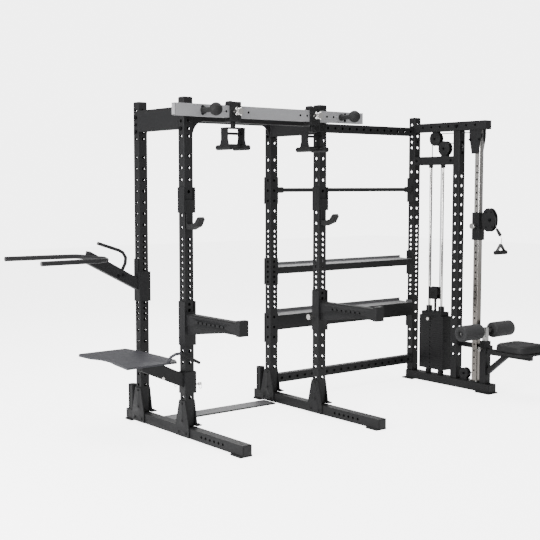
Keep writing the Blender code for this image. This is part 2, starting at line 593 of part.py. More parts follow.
def handle():
    """Rubber stop at the cable's end, a carabiner, and the stirrup handle."""
    x = CENTRE_X
    pieces = [rod((x, -0.966, 1.368), (x, -1.005, 1.316), 0.011, 0.015)]
    node("cable_stop", "rubber", pieces, origin=(x, -0.966, 1.368))
    apex = (x, -1.010, 1.248)
    carabiner = [(x, -1.006, 1.311), (x, -1.018, 1.300), (x, -1.018, 1.264), (x, -1.010, 1.244)]
    half, grip_z = 0.062, 1.178
    strap = [(x - half, apex[2] - 0.070), (x - 0.006, apex[2]), (x + 0.006, apex[2]),
             (x + half, apex[2] - 0.070), (x + half - 0.012, apex[2] - 0.070), (x, apex[2] - 0.013),
             (x - half + 0.012, apex[2] - 0.070)]
    pieces = [plate(strap, apex[1] - 0.012, apex[1] + 0.012, "Y"), bent_bar(carabiner, 0.0035),
              rod((x - 0.070, apex[1], grip_z), (x + 0.070, apex[1], grip_z), 0.0175)]
    node("stirrup_handle", "rubber", pieces, origin=carabiner[0])


def lat_seat():
    """Post in front of the column, seat arm and brace, roller post, rollers and seat pad."""
    y0, y1 = -0.900, -0.836
    side_x = (CENTRE_X + 0.0365, CENTRE_X + 0.066)
    seat_low = 0.372
    pieces = [box(CENTRE_X - 0.032, CENTRE_X + 0.032, y0, y1, BEAM_TOP + GAP, 0.435),
              box(CENTRE_X + 0.030, side_x[1], y0 + 0.006, y1 - 0.006, 0.352, 0.392),
              box(*side_x, y0 + 0.006, CABLE_FRONT_Y - 0.010, 0.352, 0.392),
              box(CENTRE_X - 0.022, CENTRE_X + 0.022, -1.340, y0 + 0.004, 0.328, seat_low - GAP)]
    brace = [(y0 + 0.003, 0.150), (y0 + 0.003, 0.205), (-1.055, 0.332), (-1.115, 0.332)]
    pieces.append(plate(brace, CENTRE_X - 0.018, CENTRE_X + 0.018, "X"))
    cut = box(CENTRE_X - 0.0215, CENTRE_X + 0.0215, ROLLER_AXIS[0] - 0.0215, ROLLER_AXIS[0] + 0.0215,
              0.120, 0.46)
    start = CENTRE_X - 0.032
    pieces += [rod((start + 0.004, -0.868, 0.372), (start - 0.020, -0.868, 0.372), 0.010),
               rod((start - 0.018, -0.868, 0.372), (start - 0.044, -0.868, 0.372), 0.012, 0.019)]
    node("seat_frame", "black_coat", pieces, [cut])
    post = [box(CENTRE_X - 0.020, CENTRE_X + 0.020, ROLLER_AXIS[0] - 0.020, ROLLER_AXIS[0] + 0.020,
                0.250, 0.548),
            rod((CENTRE_X - 0.306, *ROLLER_AXIS), (CENTRE_X + 0.306, *ROLLER_AXIS), 0.0125)]
    node("roller_post", "steel", post, origin=(CENTRE_X, *ROLLER_AXIS))
    for name, side in (("left", -1), ("right", 1)):
        ends = sorted((CENTRE_X + side * 0.078, CENTRE_X + side * (ROLLER_END - CENTRE_X)))
        pieces = [rod((ends[0], *ROLLER_AXIS), (ends[1], *ROLLER_AXIS), 0.0645, sides=24)]
        cut = rod((ends[0] - 0.01, *ROLLER_AXIS), (ends[1] + 0.01, *ROLLER_AXIS), 0.0135)
        node("foam_roller_" + name, "foam", pieces, [cut], origin=(CENTRE_X, *ROLLER_AXIS))
    seat_pad(seat_low)


def seat_pad(low):
    half_x, half_y, corner, steps = 0.165, 0.165, 0.085, 5
    outline = []
    for turn, (cx, cy) in enumerate(((1, 1), (-1, 1), (-1, -1), (1, -1))):
        for step in range(steps + 1):
            angle = math.pi / 2 * (turn + step / steps)
            outline.append((CENTRE_X + cx * (half_x - corner) + corner * math.cos(angle),
                            SEAT_CENTRE_Y + cy * (half_y - corner) + corner * math.sin(angle)))
    node("seat_pad", "leather", [plate(outline, low, 0.452, "Z")], origin=(CENTRE_X, SEAT_CENTRE_Y, low))


def cables():
    """Straight runs of the cable, each in its own node, clear of wheels and guards."""
    radius = 0.003
    runs = {
        "cable_lift_rear": ((CENTRE_X, LIFT_CABLE_Y[0], 0.846), (CENTRE_X, LIFT_CABLE_Y[0], 2.100)),
        "cable_lift_front": ((CENTRE_X, LIFT_CABLE_Y[1], 0.846), (CENTRE_X, LIFT_CABLE_Y[1], 2.020)),
        "cable_high": ((CENTRE_X, -0.360, 2.166), (CENTRE_X, CABLE_FRONT_Y + 0.001, 2.166)),
        "cable_column": ((CENTRE_X, COLUMN_FRONT - 0.007, 1.500), (CENTRE_X, COLUMN_FRONT - 0.007, 2.180)),
        "cable_return": ((CENTRE_X, COLUMN_REAR + 0.006, 0.190), (CENTRE_X, COLUMN_REAR + 0.006, 1.269)),
    }
    for name, (start, end) in runs.items():
        node(name, "cable", [rod(start, end, radius, sides=8)], origin=start)


def centre_machine():
    """Move everything so that the origin is at the middle of the machine's footprint."""
    bpy.context.view_layer.update()
    parts = bpy.data.collections[COLLECTION].objects
    corners = [obj.matrix_world @ Vector(corner) for obj in parts for corner in obj.bound_box]
    middle_x = (min(c.x for c in corners) + max(c.x for c in corners)) / 2
    middle_y = (min(c.y for c in corners) + max(c.y for c in corners)) / 2
    for obj in parts:
        obj.location -= Vector((middle_x, middle_y, 0.0))
    print("origin moved by", round(middle_x, 6), round(middle_y, 6))


def main():
    clear_scene()
    new_collection()
    make_materials()
    uprights()
    base_beams()
    top_members()
    pull_up_beam()
    hanging_handles()
    j_hooks()
    spotter_arms()
    dip_station()
    step_platform()
    storage_bay()
    column()
    cable_station()
    carriage()
    lat_seat()
    cables()
    centre_machine()
    bpy.context.view_layer.update()


main()
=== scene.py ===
import math

import bmesh
import bpy
from mathutils import Matrix, Vector, noise


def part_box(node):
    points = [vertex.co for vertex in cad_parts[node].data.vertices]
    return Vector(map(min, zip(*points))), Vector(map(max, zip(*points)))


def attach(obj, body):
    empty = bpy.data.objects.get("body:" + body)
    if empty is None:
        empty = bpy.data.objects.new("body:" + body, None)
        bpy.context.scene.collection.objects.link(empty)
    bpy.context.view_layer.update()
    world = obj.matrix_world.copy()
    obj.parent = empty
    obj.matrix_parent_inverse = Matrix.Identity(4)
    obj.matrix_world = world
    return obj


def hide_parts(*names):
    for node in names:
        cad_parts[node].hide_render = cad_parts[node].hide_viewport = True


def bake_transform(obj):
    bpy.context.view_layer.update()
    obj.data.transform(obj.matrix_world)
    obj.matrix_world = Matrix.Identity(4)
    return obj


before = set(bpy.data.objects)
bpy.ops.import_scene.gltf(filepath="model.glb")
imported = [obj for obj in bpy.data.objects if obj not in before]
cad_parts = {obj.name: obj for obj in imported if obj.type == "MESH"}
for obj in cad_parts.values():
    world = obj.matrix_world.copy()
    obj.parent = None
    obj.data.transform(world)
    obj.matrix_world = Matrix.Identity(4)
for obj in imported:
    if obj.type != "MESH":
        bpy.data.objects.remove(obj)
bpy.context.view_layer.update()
scene = bpy.context.scene
view = bpy.context.view_layer

# everything is placed from the rear left upright's outer corner: x to the right, -y to the front
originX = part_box("upright_rear_left")[0].x
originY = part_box("upright_rear_left")[1].y
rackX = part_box("upright_rear_right")[0].x - originX     # left faces of the right uprights
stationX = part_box("upright_cable_rear")[0].x - originX  # left faces of the cable station's uprights
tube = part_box("upright_rear_left")[1].x - originX
centreX = stationX + tube / 2
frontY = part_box("upright_front_left")[0].y - originY    # front face of the front uprights
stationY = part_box("upright_cable_front")[0].y - originY
rackSides = (("left", 0.0), ("right", rackX))
uprightMiddles = (-tube / 2, frontY + tube / 2)


def at(x, y, z):
    return Vector((x + originX, y + originY, z))


# finishes: colours are sRGB hex values, turned to linear ones here
def linear(hexColour):
    values = [int(hexColour[i:i + 2], 16) / 255 for i in (1, 3, 5)]
    return tuple(v / 12.92 if v <= 0.04045 else ((v + 0.055) / 1.055) ** 2.4 for v in values) + (1.0,)


def addNode(tree, kind, settings=None, inputs=None):
    made = tree.nodes.new(kind)
    for key, value in (settings or {}).items():
        setattr(made, key, value)
    for key, value in (inputs or {}).items():
        if isinstance(value, bpy.types.NodeSocket):
            tree.links.new(value, made.inputs[key])
        else:
            made.inputs[key].default_value = value
    return made


def startMaterial(name, uniform):
    material = bpy.data.materials.new(name)
    material.use_nodes = True
    tree = material.node_tree
    shader = tree.nodes["Principled BSDF"]
    for key, value in uniform.items():
        shader.inputs[key].default_value = value
    place = addNode(tree, "ShaderNodeTexCoord").outputs["Object"]
    return material, tree, shader, place


def mixColours(tree, factor, first, second):
    made = addNode(tree, "ShaderNodeMix", {"data_type": "RGBA"})
    tree.links.new(factor, made.inputs[0])
    for index, value in ((6, first), (7, second)):
        if isinstance(value, str):
            made.inputs[index].default_value = linear(value)
        else:
            tree.links.new(value, made.inputs[index])
    return made.outputs[2]


def spread(tree, value, low, high, outLow=0.0, outHigh=1.0):
    return addNode(tree, "ShaderNodeMapRange", {"interpolation_type": "SMOOTHSTEP"}, {
        "Value": value, "From Min": low, "From Max": high, "To Min": outLow, "To Max": outHigh}).outputs[0]


def powderCoat(name, look):
    # polyester powder coat baked on steel: an even satin film with a fine orange-peel skin, slightly
    # paler where it is rubbed; the real grain of 0.3 mm is drawn at 1.5 mm so that it shows
    material, tree, shader, place = startMaterial(name, {
        "IOR": 1.5, "Specular IOR Level": look.get("gloss", 0.2)})
    cloud = addNode(tree, "ShaderNodeTexNoise", None, {"Vector": place, "Scale": 3.5, "Detail": 3.0})
    grain = addNode(tree, "ShaderNodeTexNoise", None, {"Vector": place, "Scale": 650.0, "Detail": 2.0})
    rub = addNode(tree, "ShaderNodeTexNoise", None, {
        "Vector": place, "Scale": 38.0, "Detail": 6.0, "Roughness": 0.7})
    rubbed = spread(tree, rub.outputs[0], 0.60, 0.74)
    base = mixColours(tree, cloud.outputs[0], look["dark"], look["light"])
    # painted highlight: the raised spots of the orange-peel grain are coloured paler
    peakHighlighted = mixColours(tree, spread(tree, grain.outputs[0], 0.42, 0.75), base, look["grainPeakHighlight"])
    worn = mixColours(tree, addNode(tree, "ShaderNodeMath", {"operation": "MULTIPLY"}, {
        0: rubbed, 1: look.get("wear", 0.25)}).outputs[0], peakHighlighted, look["worn"])
    tree.links.new(worn, shader.inputs["Base Color"])
    rough = spread(tree, rub.outputs[0], 0.3, 0.75, look["rough"] + 0.07, look["rough"] - 0.05)
    tree.links.new(rough, shader.inputs["Roughness"])
    skin = addNode(tree, "ShaderNodeBump", None, {
        "Height": grain.outputs[0], "Strength": look.get("skin", 0.12), "Distance": 0.0006})
    tree.links.new(skin.outputs[0], shader.inputs["Normal"])
    return material


def metal(name, look):
    # plated or machined steel: mirror-like or finely drawn along one direction, with faint handling marks
    material, tree, shader, place = startMaterial(name, {"Metallic": 1.0})
    turned = addNode(tree, "ShaderNodeMapping", None, {"Vector": place, "Scale": look["stretch"]})
    drawn = addNode(tree, "ShaderNodeTexNoise", None, {
        "Vector": turned.outputs[0], "Scale": 420.0, "Detail": 3.0})
    cloud = addNode(tree, "ShaderNodeTexNoise", None, {"Vector": place, "Scale": 9.0, "Detail": 4.0})
    tone = mixColours(tree, cloud.outputs[0], look["dark"], look["light"])
    if "shadeHeights" in look:      # painted shade: the plating is coloured darker towards the floor
        height = addNode(tree, "ShaderNodeSeparateXYZ", None, {"Vector": place}).outputs[2]
        low, high = look["shadeHeights"]
        tone = mixColours(tree, spread(tree, height, low, high), look["low"], tone)
    tree.links.new(tone, shader.inputs["Base Color"])
    rough = spread(tree, drawn.outputs[0], 0.3, 0.7, look["rough"] - 0.04, look["rough"] + 0.06)
    tree.links.new(rough, shader.inputs["Roughness"])
    marks = addNode(tree, "ShaderNodeBump", None, {
        "Height": drawn.outputs[0], "Strength": look.get("marks", 0.05), "Distance": 0.0004})
    tree.links.new(marks.outputs[0], shader.inputs["Normal"])
    return material


def mouldedNylon(name, look):
    # injection-moulded nylon or rubber: matt, faintly mottled, with a spark-eroded skin of about 1 mm
    material, tree, shader, place = startMaterial(name, {"IOR": 1.5, "Specular IOR Level": 0.35})
    mottle = addNode(tree, "ShaderNodeTexNoise", None, {"Vector": place, "Scale": 60.0, "Detail": 4.0})
    pores = addNode(tree, "ShaderNodeTexVoronoi", None, {"Vector": place, "Scale": 900.0})
    tree.links.new(mixColours(tree, mottle.outputs[0], look["dark"], look["light"]),
                   shader.inputs["Base Color"])
    tree.links.new(spread(tree, mottle.outputs[0], 0.3, 0.7, look["rough"], look["rough"] + 0.12),
                   shader.inputs["Roughness"])
    skin = addNode(tree, "ShaderNodeBump", None, {
        "Height": pores.outputs[0], "Strength": look.get("skin", 0.15), "Distance": 0.0005})
    tree.links.new(skin.outputs[0], shader.inputs["Normal"])
    return material


def foamSkin(name):
    # closed-cell nitrile foam: soft grey bloom, round cells of 1 to 2 mm drawn at 3 mm, dull sheen
    material, tree, shader, place = startMaterial(name, {
        "IOR": 1.45, "Sheen Weight": 0.05, "Sheen Roughness": 0.5})
    cells = addNode(tree, "ShaderNodeTexVoronoi", None, {"Vector": place, "Scale": 330.0})
    cloud = addNode(tree, "ShaderNodeTexNoise", None, {"Vector": place, "Scale": 14.0, "Detail": 5.0})
    bloom = mixColours(tree, cloud.outputs[0], "#2c2c2d", "#3a3a3c")
    # painted shade: the hollows between the foam cells are coloured darker
    pitShade = mixColours(tree, spread(tree, cells.outputs[0], 0.25, 0.7), bloom, "#222223")
    tree.links.new(pitShade, shader.inputs["Base Color"])
    tree.links.new(spread(tree, cloud.outputs[0], 0.3, 0.7, 0.72, 0.88), shader.inputs["Roughness"])
    pits = addNode(tree, "ShaderNodeBump", {"invert": True}, {
        "Height": cells.outputs[0], "Strength": 0.35, "Distance": 0.0012})
    tree.links.new(pits.outputs[0], shader.inputs["Normal"])
    return material


def grainedVinyl(name):
    # upholstery vinyl pressed with a leather grain: pebbles 2 to 3 mm wide, soft satin highlights
    material, tree, shader, place = startMaterial(name, {"IOR": 1.5, "Specular IOR Level": 0.3})
    pebble = addNode(tree, "ShaderNodeTexVoronoi", {"feature": "DISTANCE_TO_EDGE"}, {
        "Vector": place, "Scale": 380.0})
    cloud = addNode(tree, "ShaderNodeTexNoise", None, {"Vector": place, "Scale": 22.0, "Detail": 5.0})
    tone = mixColours(tree, cloud.outputs[0], "#131314", "#1b1b1c")
    # painted shade: the creases between the grain's pebbles are coloured darker
    creaseShade = mixColours(tree, spread(tree, pebble.outputs[0], 0.0, 0.12), "#121213", tone)
    tree.links.new(creaseShade, shader.inputs["Base Color"])
    tree.links.new(spread(tree, cloud.outputs[0], 0.3, 0.7, 0.46, 0.62), shader.inputs["Roughness"])
    grain = addNode(tree, "ShaderNodeBump", None, {
        "Height": spread(tree, pebble.outputs[0], 0.0, 0.2), "Strength": 0.3, "Distance": 0.0009})
    tree.links.new(grain.outputs[0], shader.inputs["Normal"])
    return material


def twistedRope(name, dark, light, pitch):
    # steel rope or webbing: strands that wind round with the pitch given, under a clear nylon sheath
    material, tree, shader, place = startMaterial(name, {
        "IOR": 1.5, "Coat Weight": 0.5, "Coat Roughness": 0.25})
    turned = addNode(tree, "ShaderNodeMapping", None, {"Vector": place, "Rotation": (0.6, 0.5, 0.0)})
    strands = addNode(tree, "ShaderNodeTexWave", {"bands_direction": "Z"}, {
        "Vector": turned.outputs[0], "Scale": 0.314 / pitch, "Distortion": 0.4, "Detail": 1.0})
    # painted shade and highlight: the grooves between strands are coloured darker and the strands' crowns
    # paler
    tree.links.new(mixColours(tree, strands.outputs[0], dark, light), shader.inputs["Base Color"])
    tree.links.new(spread(tree, strands.outputs[0], 0.0, 1.0, 0.5, 0.34), shader.inputs["Roughness"])
    lay = addNode(tree, "ShaderNodeBump", None, {
        "Height": strands.outputs[0], "Strength": 0.4, "Distance": 0.0006})
    tree.links.new(lay.outputs[0], shader.inputs["Normal"])
    return material


def studioFloor(name, look):
    # seamless studio paper: almost white, with a hardly visible fibre, and brightly lit
    material, tree, shader, place = startMaterial(name, {
        "Specular IOR Level": 0.25, "Roughness": 0.85, "Emission Color": linear("#ffffff")})
    seen = addNode(tree, "ShaderNodeLightPath").outputs["Is Camera Ray"]
    glow = addNode(tree, "ShaderNodeMapRange", None, {
        "Value": seen, "To Min": look["asLight"], "To Max": look["asSeen"]})
    tree.links.new(glow.outputs[0], shader.inputs["Emission Strength"])
    fibre = addNode(tree, "ShaderNodeTexNoise", None, {"Vector": place, "Scale": 40.0, "Detail": 4.0})
    tree.links.new(mixColours(tree, fibre.outputs[0], "#f3f3f4", "#f8f8f8"), shader.inputs["Base Color"])
    return material


blackCoat = powderCoat("black powder coat on steel", {
    "dark": "#151516", "light": "#1b1b1c", "grainPeakHighlight": "#242425", "worn": "#454547", "rough": 0.44})
greyCoat = powderCoat("silver grey powder coat on steel", {
    "dark": "#7c7c7e", "light": "#88888a", "grainPeakHighlight": "#98989a", "worn": "#666668", "rough": 0.38,
    "wear": 0.15})
plateCoat = powderCoat("mid grey powder coat on plate", {
    "dark": "#313135", "light": "#39393d", "grainPeakHighlight": "#47474b", "worn": "#5c5c60", "rough": 0.45, "wear": 0.3})
# painted highlight: a paler coat given only to top faces, standing in for the overhead light falling on them
litTopCoat = powderCoat("grey wrinkle coat with painted top light", {
    "dark": "#4c4c4e", "light": "#565658", "grainPeakHighlight": "#6a6a6c", "worn": "#77777a", "rough": 0.45, "skin": 0.3,
    "gloss": 0.6})
stackEnamel = powderCoat("black enamel on cast iron plates", {
    "dark": "#101011", "light": "#151516", "grainPeakHighlight": "#1e1e1f", "worn": "#303031", "rough": 0.4, "skin": 0.2})
chrome = metal("chrome plate on steel", {
    "dark": "#dcdad7", "light": "#efedea", "rough": 0.12, "stretch": (1.0, 1.0, 0.06)})
# painted shade: the column's chrome is coloured darker from 1.75 m down to 0.75 m
columnChrome = metal("brushed chrome on square tube", {
    "dark": "#dedbd7", "light": "#f0eeea", "low": "#8d8883", "shadeHeights": (0.75, 1.75), "rough": 0.24,
    "stretch": (1.0, 1.0, 0.04), "marks": 0.02})
zincSteel = metal("zinc plated steel", {
    "dark": "#a8a8a8", "light": "#c2c2c0", "rough": 0.32, "stretch": (1.0, 1.0, 0.3)})
# black oxide on the bolts; the same dark material is also put on hole walls as painted shade
boltOxideAndHoleShade = metal("black oxide on bolts and painted shade in holes", {
    "dark": "#1d1d1f", "light": "#2a2a2c", "rough": 0.38, "stretch": (1.0, 1.0, 1.0)})
nylon = mouldedNylon("black glass-filled nylon", {"dark": "#101011", "light": "#18181a", "rough": 0.45})
rubber = mouldedNylon("black nitrile rubber", {
    "dark": "#0e0e0e", "light": "#161617", "rough": 0.7, "skin": 0.3})
liner = mouldedNylon("black polyethylene liner", {"dark": "#0c0c0d", "light": "#131314", "rough": 0.6})
foam = foamSkin("grey nitrile foam")
vinyl = grainedVinyl("grained upholstery vinyl")
rope = twistedRope("sheathed steel rope", "#1f1f20", "#4a4a4c", 0.006)
webbing = twistedRope("woven nylon webbing", "#0f0f10", "#242425", 0.003)
paper = studioFloor("white studio paper", {"asLight": 0.15, "asSeen": 4.2})
print("materials ready")


# camera, floor and lights
stageLook = {"lens": 68.85, "place": (-4.92346, -5.8210, 1.7252), "tilt": 85.2976, "turn": -38.222,
             "floor": 20.0, "backdropAsLight": 0.42, "backdropAsSeen": 5.0, "lampsAim": (0.2, 0.0, 1.0)}
camera = bpy.data.objects.new("camera", bpy.data.cameras.new("camera"))
camera.data.lens = stageLook["lens"]
camera.data.sensor_width = 36.0
camera.data.clip_end = 60.0
camera.location = stageLook["place"]
camera.rotation_euler = (math.radians(stageLook["tilt"]), 0.0, math.radians(stageLook["turn"]))
scene.collection.objects.link(camera)
scene.camera = camera

floorMesh = bpy.data.meshes.new("studio_floor")
bm = bmesh.new()
bmesh.ops.create_grid(bm, x_segments=8, y_segments=8, size=stageLook["floor"])
bm.to_mesh(floorMesh)
bm.free()
floor = bpy.data.objects.new("studio_floor", floorMesh)
floorMesh.materials.append(paper)
scene.collection.objects.link(floor)

world = bpy.data.worlds.new("studio")
world.use_nodes = True
scene.world = world
backdrop = world.node_tree.nodes["Background"]      # softer as light than it looks behind the machine
backdrop.inputs["Color"].default_value = linear("#ffffff")
seen = addNode(world.node_tree, "ShaderNodeLightPath").outputs["Is Camera Ray"]
glow = addNode(world.node_tree, "ShaderNodeMapRange", None, {
    "Value": seen, "To Min": stageLook["backdropAsLight"], "To Max": stageLook["backdropAsSeen"]})
world.node_tree.links.new(glow.outputs[0], backdrop.inputs["Strength"])
for lampName, place, size, power in (
        ("left softbox", (-6.5, -1.0, 3.2), 4.0, 800.0), ("front softbox", (1.0, -6.5, 4.2), 3.5, 120.0),
        ("overhead softbox", (0.3, 0.2, 5.6), 4.5, 330.0), ("back softbox", (3.5, 4.5, 3.5), 3.0, 90.0)):
    lamp = bpy.data.objects.new(lampName, bpy.data.lights.new(lampName, "AREA"))
    lamp.data.size = size
    lamp.data.energy = power
    lamp.location = place
    aim = Vector(stageLook["lampsAim"]) - Vector(place)
    lamp.rotation_euler = aim.to_track_quat("-Z", "Y").to_euler()
    scene.collection.objects.link(lamp)
print("stage ready")


# shapes: places are in the machine's own coordinates, which at() turns into the frame's
def addBox(bm, low, high, soften=0.0):
    low, high = at(*low), at(*high)
    place = Matrix.Translation((low + high) / 2) @ Matrix.Diagonal((*(high - low), 1.0))
    made = bmesh.ops.create_cube(bm, size=1.0, matrix=place)
    if soften:
        edges = {e for v in made["verts"] for e in v.link_edges}
        bmesh.ops.bevel(bm, geom=list(edges), offset=soften, offset_type="OFFSET", affect="EDGES",
                        segments=2, profile=0.5, material=-1, clamp_overlap=True)


def addRod(bm, start, end, radius, sides=24, soften=0.0):
    start, end = at(*start), at(*end)
    along = end - start
    turn = along.to_track_quat("Z", "Y").to_matrix().to_4x4()
    made = bmesh.ops.create_cone(bm, cap_ends=True, segments=sides, radius1=radius, radius2=radius,
                                 depth=along.length, matrix=Matrix.Translation((start + end) / 2) @ turn)
    if soften:
        caps = {e for v in made["verts"] for e in v.link_edges
                if all(abs((w.co - v.co).dot(along.normalized())) < 1e-6 for w in e.verts)}
        bmesh.ops.bevel(bm, geom=list(caps), offset=soften, offset_type="OFFSET", affect="EDGES",
                        segments=3, profile=0.5, material=-1, clamp_overlap=True)


def mergeInto(bm, fresh):
    # a shape made on its own joins the others of its piece
    spare = bpy.data.meshes.new("spare")
    fresh.to_mesh(spare)
    fresh.free()
    bm.from_mesh(spare)
    bpy.data.meshes.remove(spare)


def spun(bm, profile, centre, axis, sides=40):
    # profile is (distance along the axis, radius) round a closed outline
    fresh = bmesh.new()
    corners = [fresh.verts.new((0.0, radius, along)) for along, radius in profile]
    edges = [fresh.edges.new((corners[i], corners[(i + 1) % len(corners)])) for i in range(len(corners))]
    bmesh.ops.spin(fresh, geom=corners + edges, cent=(0, 0, 0), axis=(0, 0, 1), angle=math.tau,
                   steps=sides, use_merge=True, use_duplicate=False)
    bmesh.ops.remove_doubles(fresh, verts=fresh.verts, dist=1e-6)
    bmesh.ops.recalc_face_normals(fresh, faces=fresh.faces)
    turn = Vector(axis).to_track_quat("Z", "Y").to_matrix().to_4x4()
    bmesh.ops.transform(fresh, matrix=Matrix.Translation(at(*centre)) @ turn, verts=fresh.verts)
    mergeInto(bm, fresh)


def addHexBolt(bm, place, direction, size, washer=True):
    # a washer under a hexagon head with its chamfer
    place, direction = Vector(place), Vector(direction).normalized()
    if washer:
        addRod(bm, place - direction * 0.002, place + direction * 0.0016, size * 1.15, sides=20)
    addRod(bm, place, place + direction * size * 0.9, size, sides=6, soften=size * 0.12)


flatEdge = 21.0     # degrees: faces that meet at more than this keep a crisp edge


def asObject(bm, name, material, sharp=flatEdge):
    mesh = bpy.data.meshes.new(name)
    bm.to_mesh(mesh)
    bm.free()
    if material:
        mesh.materials.append(material)
    made = bpy.data.objects.new(name, mesh)
    scene.collection.objects.link(made)
    mesh.shade_smooth()
    mesh.set_sharp_from_angle(angle=math.radians(sharp))
    return made


def bake(made):
    # the modifiers' result becomes the mesh
    view.update()
    fresh = bpy.data.meshes.new_from_object(made.evaluated_get(bpy.context.evaluated_depsgraph_get()))
    old = made.data
    made.modifiers.clear()
    made.data = fresh
    name = old.name
    bpy.data.meshes.remove(old)
    fresh.name = name


def cutAway(made, cutters):
    # each cutter mesh is taken away in turn
    spares = []
    for index, bm in enumerate(cutters):
        spare = asObject(bm, "cutter", None)
        spares.append(spare)
        cut = made.modifiers.new("cut%d" % index, "BOOLEAN")
        cut.operation = "DIFFERENCE"
        cut.solver = "EXACT"
        cut.object = spare
    bake(made)
    for spare in spares:
        mesh = spare.data
        bpy.data.objects.remove(spare)
        bpy.data.meshes.remove(mesh)
    made.data.shade_smooth()
    made.data.set_sharp_from_angle(angle=math.radians(flatEdge))


def settle(made, body, slot, *nodes):
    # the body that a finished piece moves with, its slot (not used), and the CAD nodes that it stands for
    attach(made, body)
    if nodes:
        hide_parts(*nodes)
    return made


def span(node):
    # a CAD node's lowest and highest corners in the machine's own coordinates
    low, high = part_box(node)
    return [Vector((v.x - originX, v.y - originY, v.z)) for v in (low, high)]


def tint(made, zones):
    # faces whose middle is in a zone take that zone's material
    for low, high, material in zones:
        low, high = at(*low), at(*high)
        names = [m.name for m in made.data.materials]
        if material.name not in names:
            made.data.materials.append(material)
            names.append(material.name)
        index = names.index(material.name)
        for face in made.data.polygons:
            if all(low[k] <= face.center[k] <= high[k] for k in range(3)):
                face.material_index = index


def dressed(node, body, slot, material, drills=(), zones=(), edge=0.0014):
    # the CAD shape with its edges rounded, its holes drilled and its plated parts tinted
    bm = bmesh.new()
    bm.from_mesh(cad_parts[node].data)
    bmesh.ops.remove_doubles(bm, verts=bm.verts, dist=1e-5)
    bmesh.ops.dissolve_limit(bm, angle_limit=0.01, verts=bm.verts, edges=bm.edges)
    made = asObject(bm, node + "_finished", material)
    rounding = made.modifiers.new("edges", "BEVEL")
    rounding.width = edge
    rounding.segments = 2
    rounding.limit_method = "ANGLE"
    rounding.angle_limit = math.radians(40.0)
    bake(made)
    cutAway(made, drills)
    tint(made, zones)
    return settle(made, body, slot, node)


def tubeAlong(points, radius, sides=10):
    # a round bar or rope through the points
    curve = bpy.data.curves.new("run", "CURVE")
    curve.dimensions = "3D"
    curve.bevel_depth = radius
    curve.bevel_resolution = max(1, sides // 4)
    curve.use_fill_caps = True
    spline = curve.splines.new("POLY")
    spline.points.add(len(points) - 1)
    for index, place in enumerate(points):
        spline.points[index].co = (*at(*place), 1.0)
    holder = bpy.data.objects.new("run", curve)
    scene.collection.objects.link(holder)
    view.update()
    mesh = bpy.data.meshes.new_from_object(holder.evaluated_get(bpy.context.evaluated_depsgraph_get()))
    bpy.data.objects.remove(holder)
    bpy.data.curves.remove(curve)
    return mesh


def runPiece(name, points, radius, material, sides=10):
    mesh = tubeAlong(points, radius, sides)
    mesh.materials.clear()
    mesh.materials.append(material)
    mesh.shade_smooth()
    made = bpy.data.objects.new(name, mesh)
    scene.collection.objects.link(made)
    return made


def arc(centre, radius, fromAngle, toAngle, steps=20):
    # points in the station's middle plane; 0 degrees is to the front, 90 up
    x, y, z = centre
    angles = [math.radians(fromAngle + (toAngle - fromAngle) * i / steps) for i in range(steps + 1)]
    return [(x, y - radius * math.cos(a), z + radius * math.sin(a)) for a in angles]


# uprights: square tube with 3 mm walls, punched right through on both faces
# each row of holes: height of its top hole, spacing downwards and how many
tubeLook = {"wall": 0.003, "corner": 0.005, "hole": 0.0115, "railPitch": 0.08,
            "rackRows": ((2.252, 0.05, 5), (1.921, 0.08, 8), (1.321, 0.04, 15), (0.681, 0.08, 6)),
            "stationRows": ((1.80, 0.08, 17), (0.367, 0.082, 2)), "slot": (0.028, 1.985, 2.092)}


def holeHeights(rows):
    return [top - pitch * i for top, pitch, count in rows for i in range(count)]


def holedTube(node, along, holes, extra=None):
    low, high = span(node)
    bm = bmesh.new()
    addBox(bm, low, high, tubeLook["corner"])
    made = asObject(bm, node + "_tube", blackCoat)
    wall = Vector((tubeLook["wall"],) * 3)
    cutters = [bmesh.new()]
    addBox(cutters[0], low + wall, high - wall)
    middle = (low + high) / 2
    for axis, places in holes.items():
        row = bmesh.new()
        for place in places:
            start, end = list(middle), list(middle)
            start[along] = end[along] = place
            start[axis], end[axis] = low[axis] - 0.01, high[axis] + 0.01
            addRod(row, start, end, tubeLook["hole"], sides=16)
        cutters.append(row)
    if extra:
        cutters.append(extra)
    cutAway(made, cutters)
    return settle(made, "frame", "black_coat", node)


for node in ("upright_rear_left", "upright_front_left", "upright_rear_right", "upright_front_right",
             "upright_cable_rear"):
    heights = holeHeights(tubeLook["rackRows"])
    holedTube(node, 2, {0: heights, 1: heights})
heights = holeHeights(tubeLook["stationRows"])
slotCut = bmesh.new()       # the rope passes through a slot in the front upright
width, bottom, top = tubeLook["slot"]
addBox(slotCut, (centreX - width / 2, stationY - 0.01, bottom), (centreX + width / 2, stationY + 0.09, top))
holedTube("upright_cable_front", 2, {0: heights, 1: heights}, slotCut)
for node in ("rail_top", "rail_bottom"):
    low, high = span(node)
    pitch = tubeLook["railPitch"]
    count = int((high.x - low.x) / pitch)
    first = (low.x + high.x) / 2 - pitch * (count - 1) / 2
    holedTube(node, 0, {1: [first + pitch * i for i in range(count)]})
print("uprights and rails ready")

# beams and brackets: the CAD shapes with rounded edges, drilled rows and plated parts
# each drilled row: radius, place of the first hole along the piece, spacing, how many and the level
drillLook = {"base": (0.0105, -0.837, 0.0492, 6, 0.046), "spotter": (0.0085, -0.80, 0.0483, 7, 0.812),
             "top": (0.0105, -0.170, 0.0975, 7, 2.220), "column": (0.008, 1.882, 0.055, 32, -0.7711),
             "beam": (0.008, (0.213, 0.397, 0.852, 0.915, 1.10, 1.163), 2.212)}


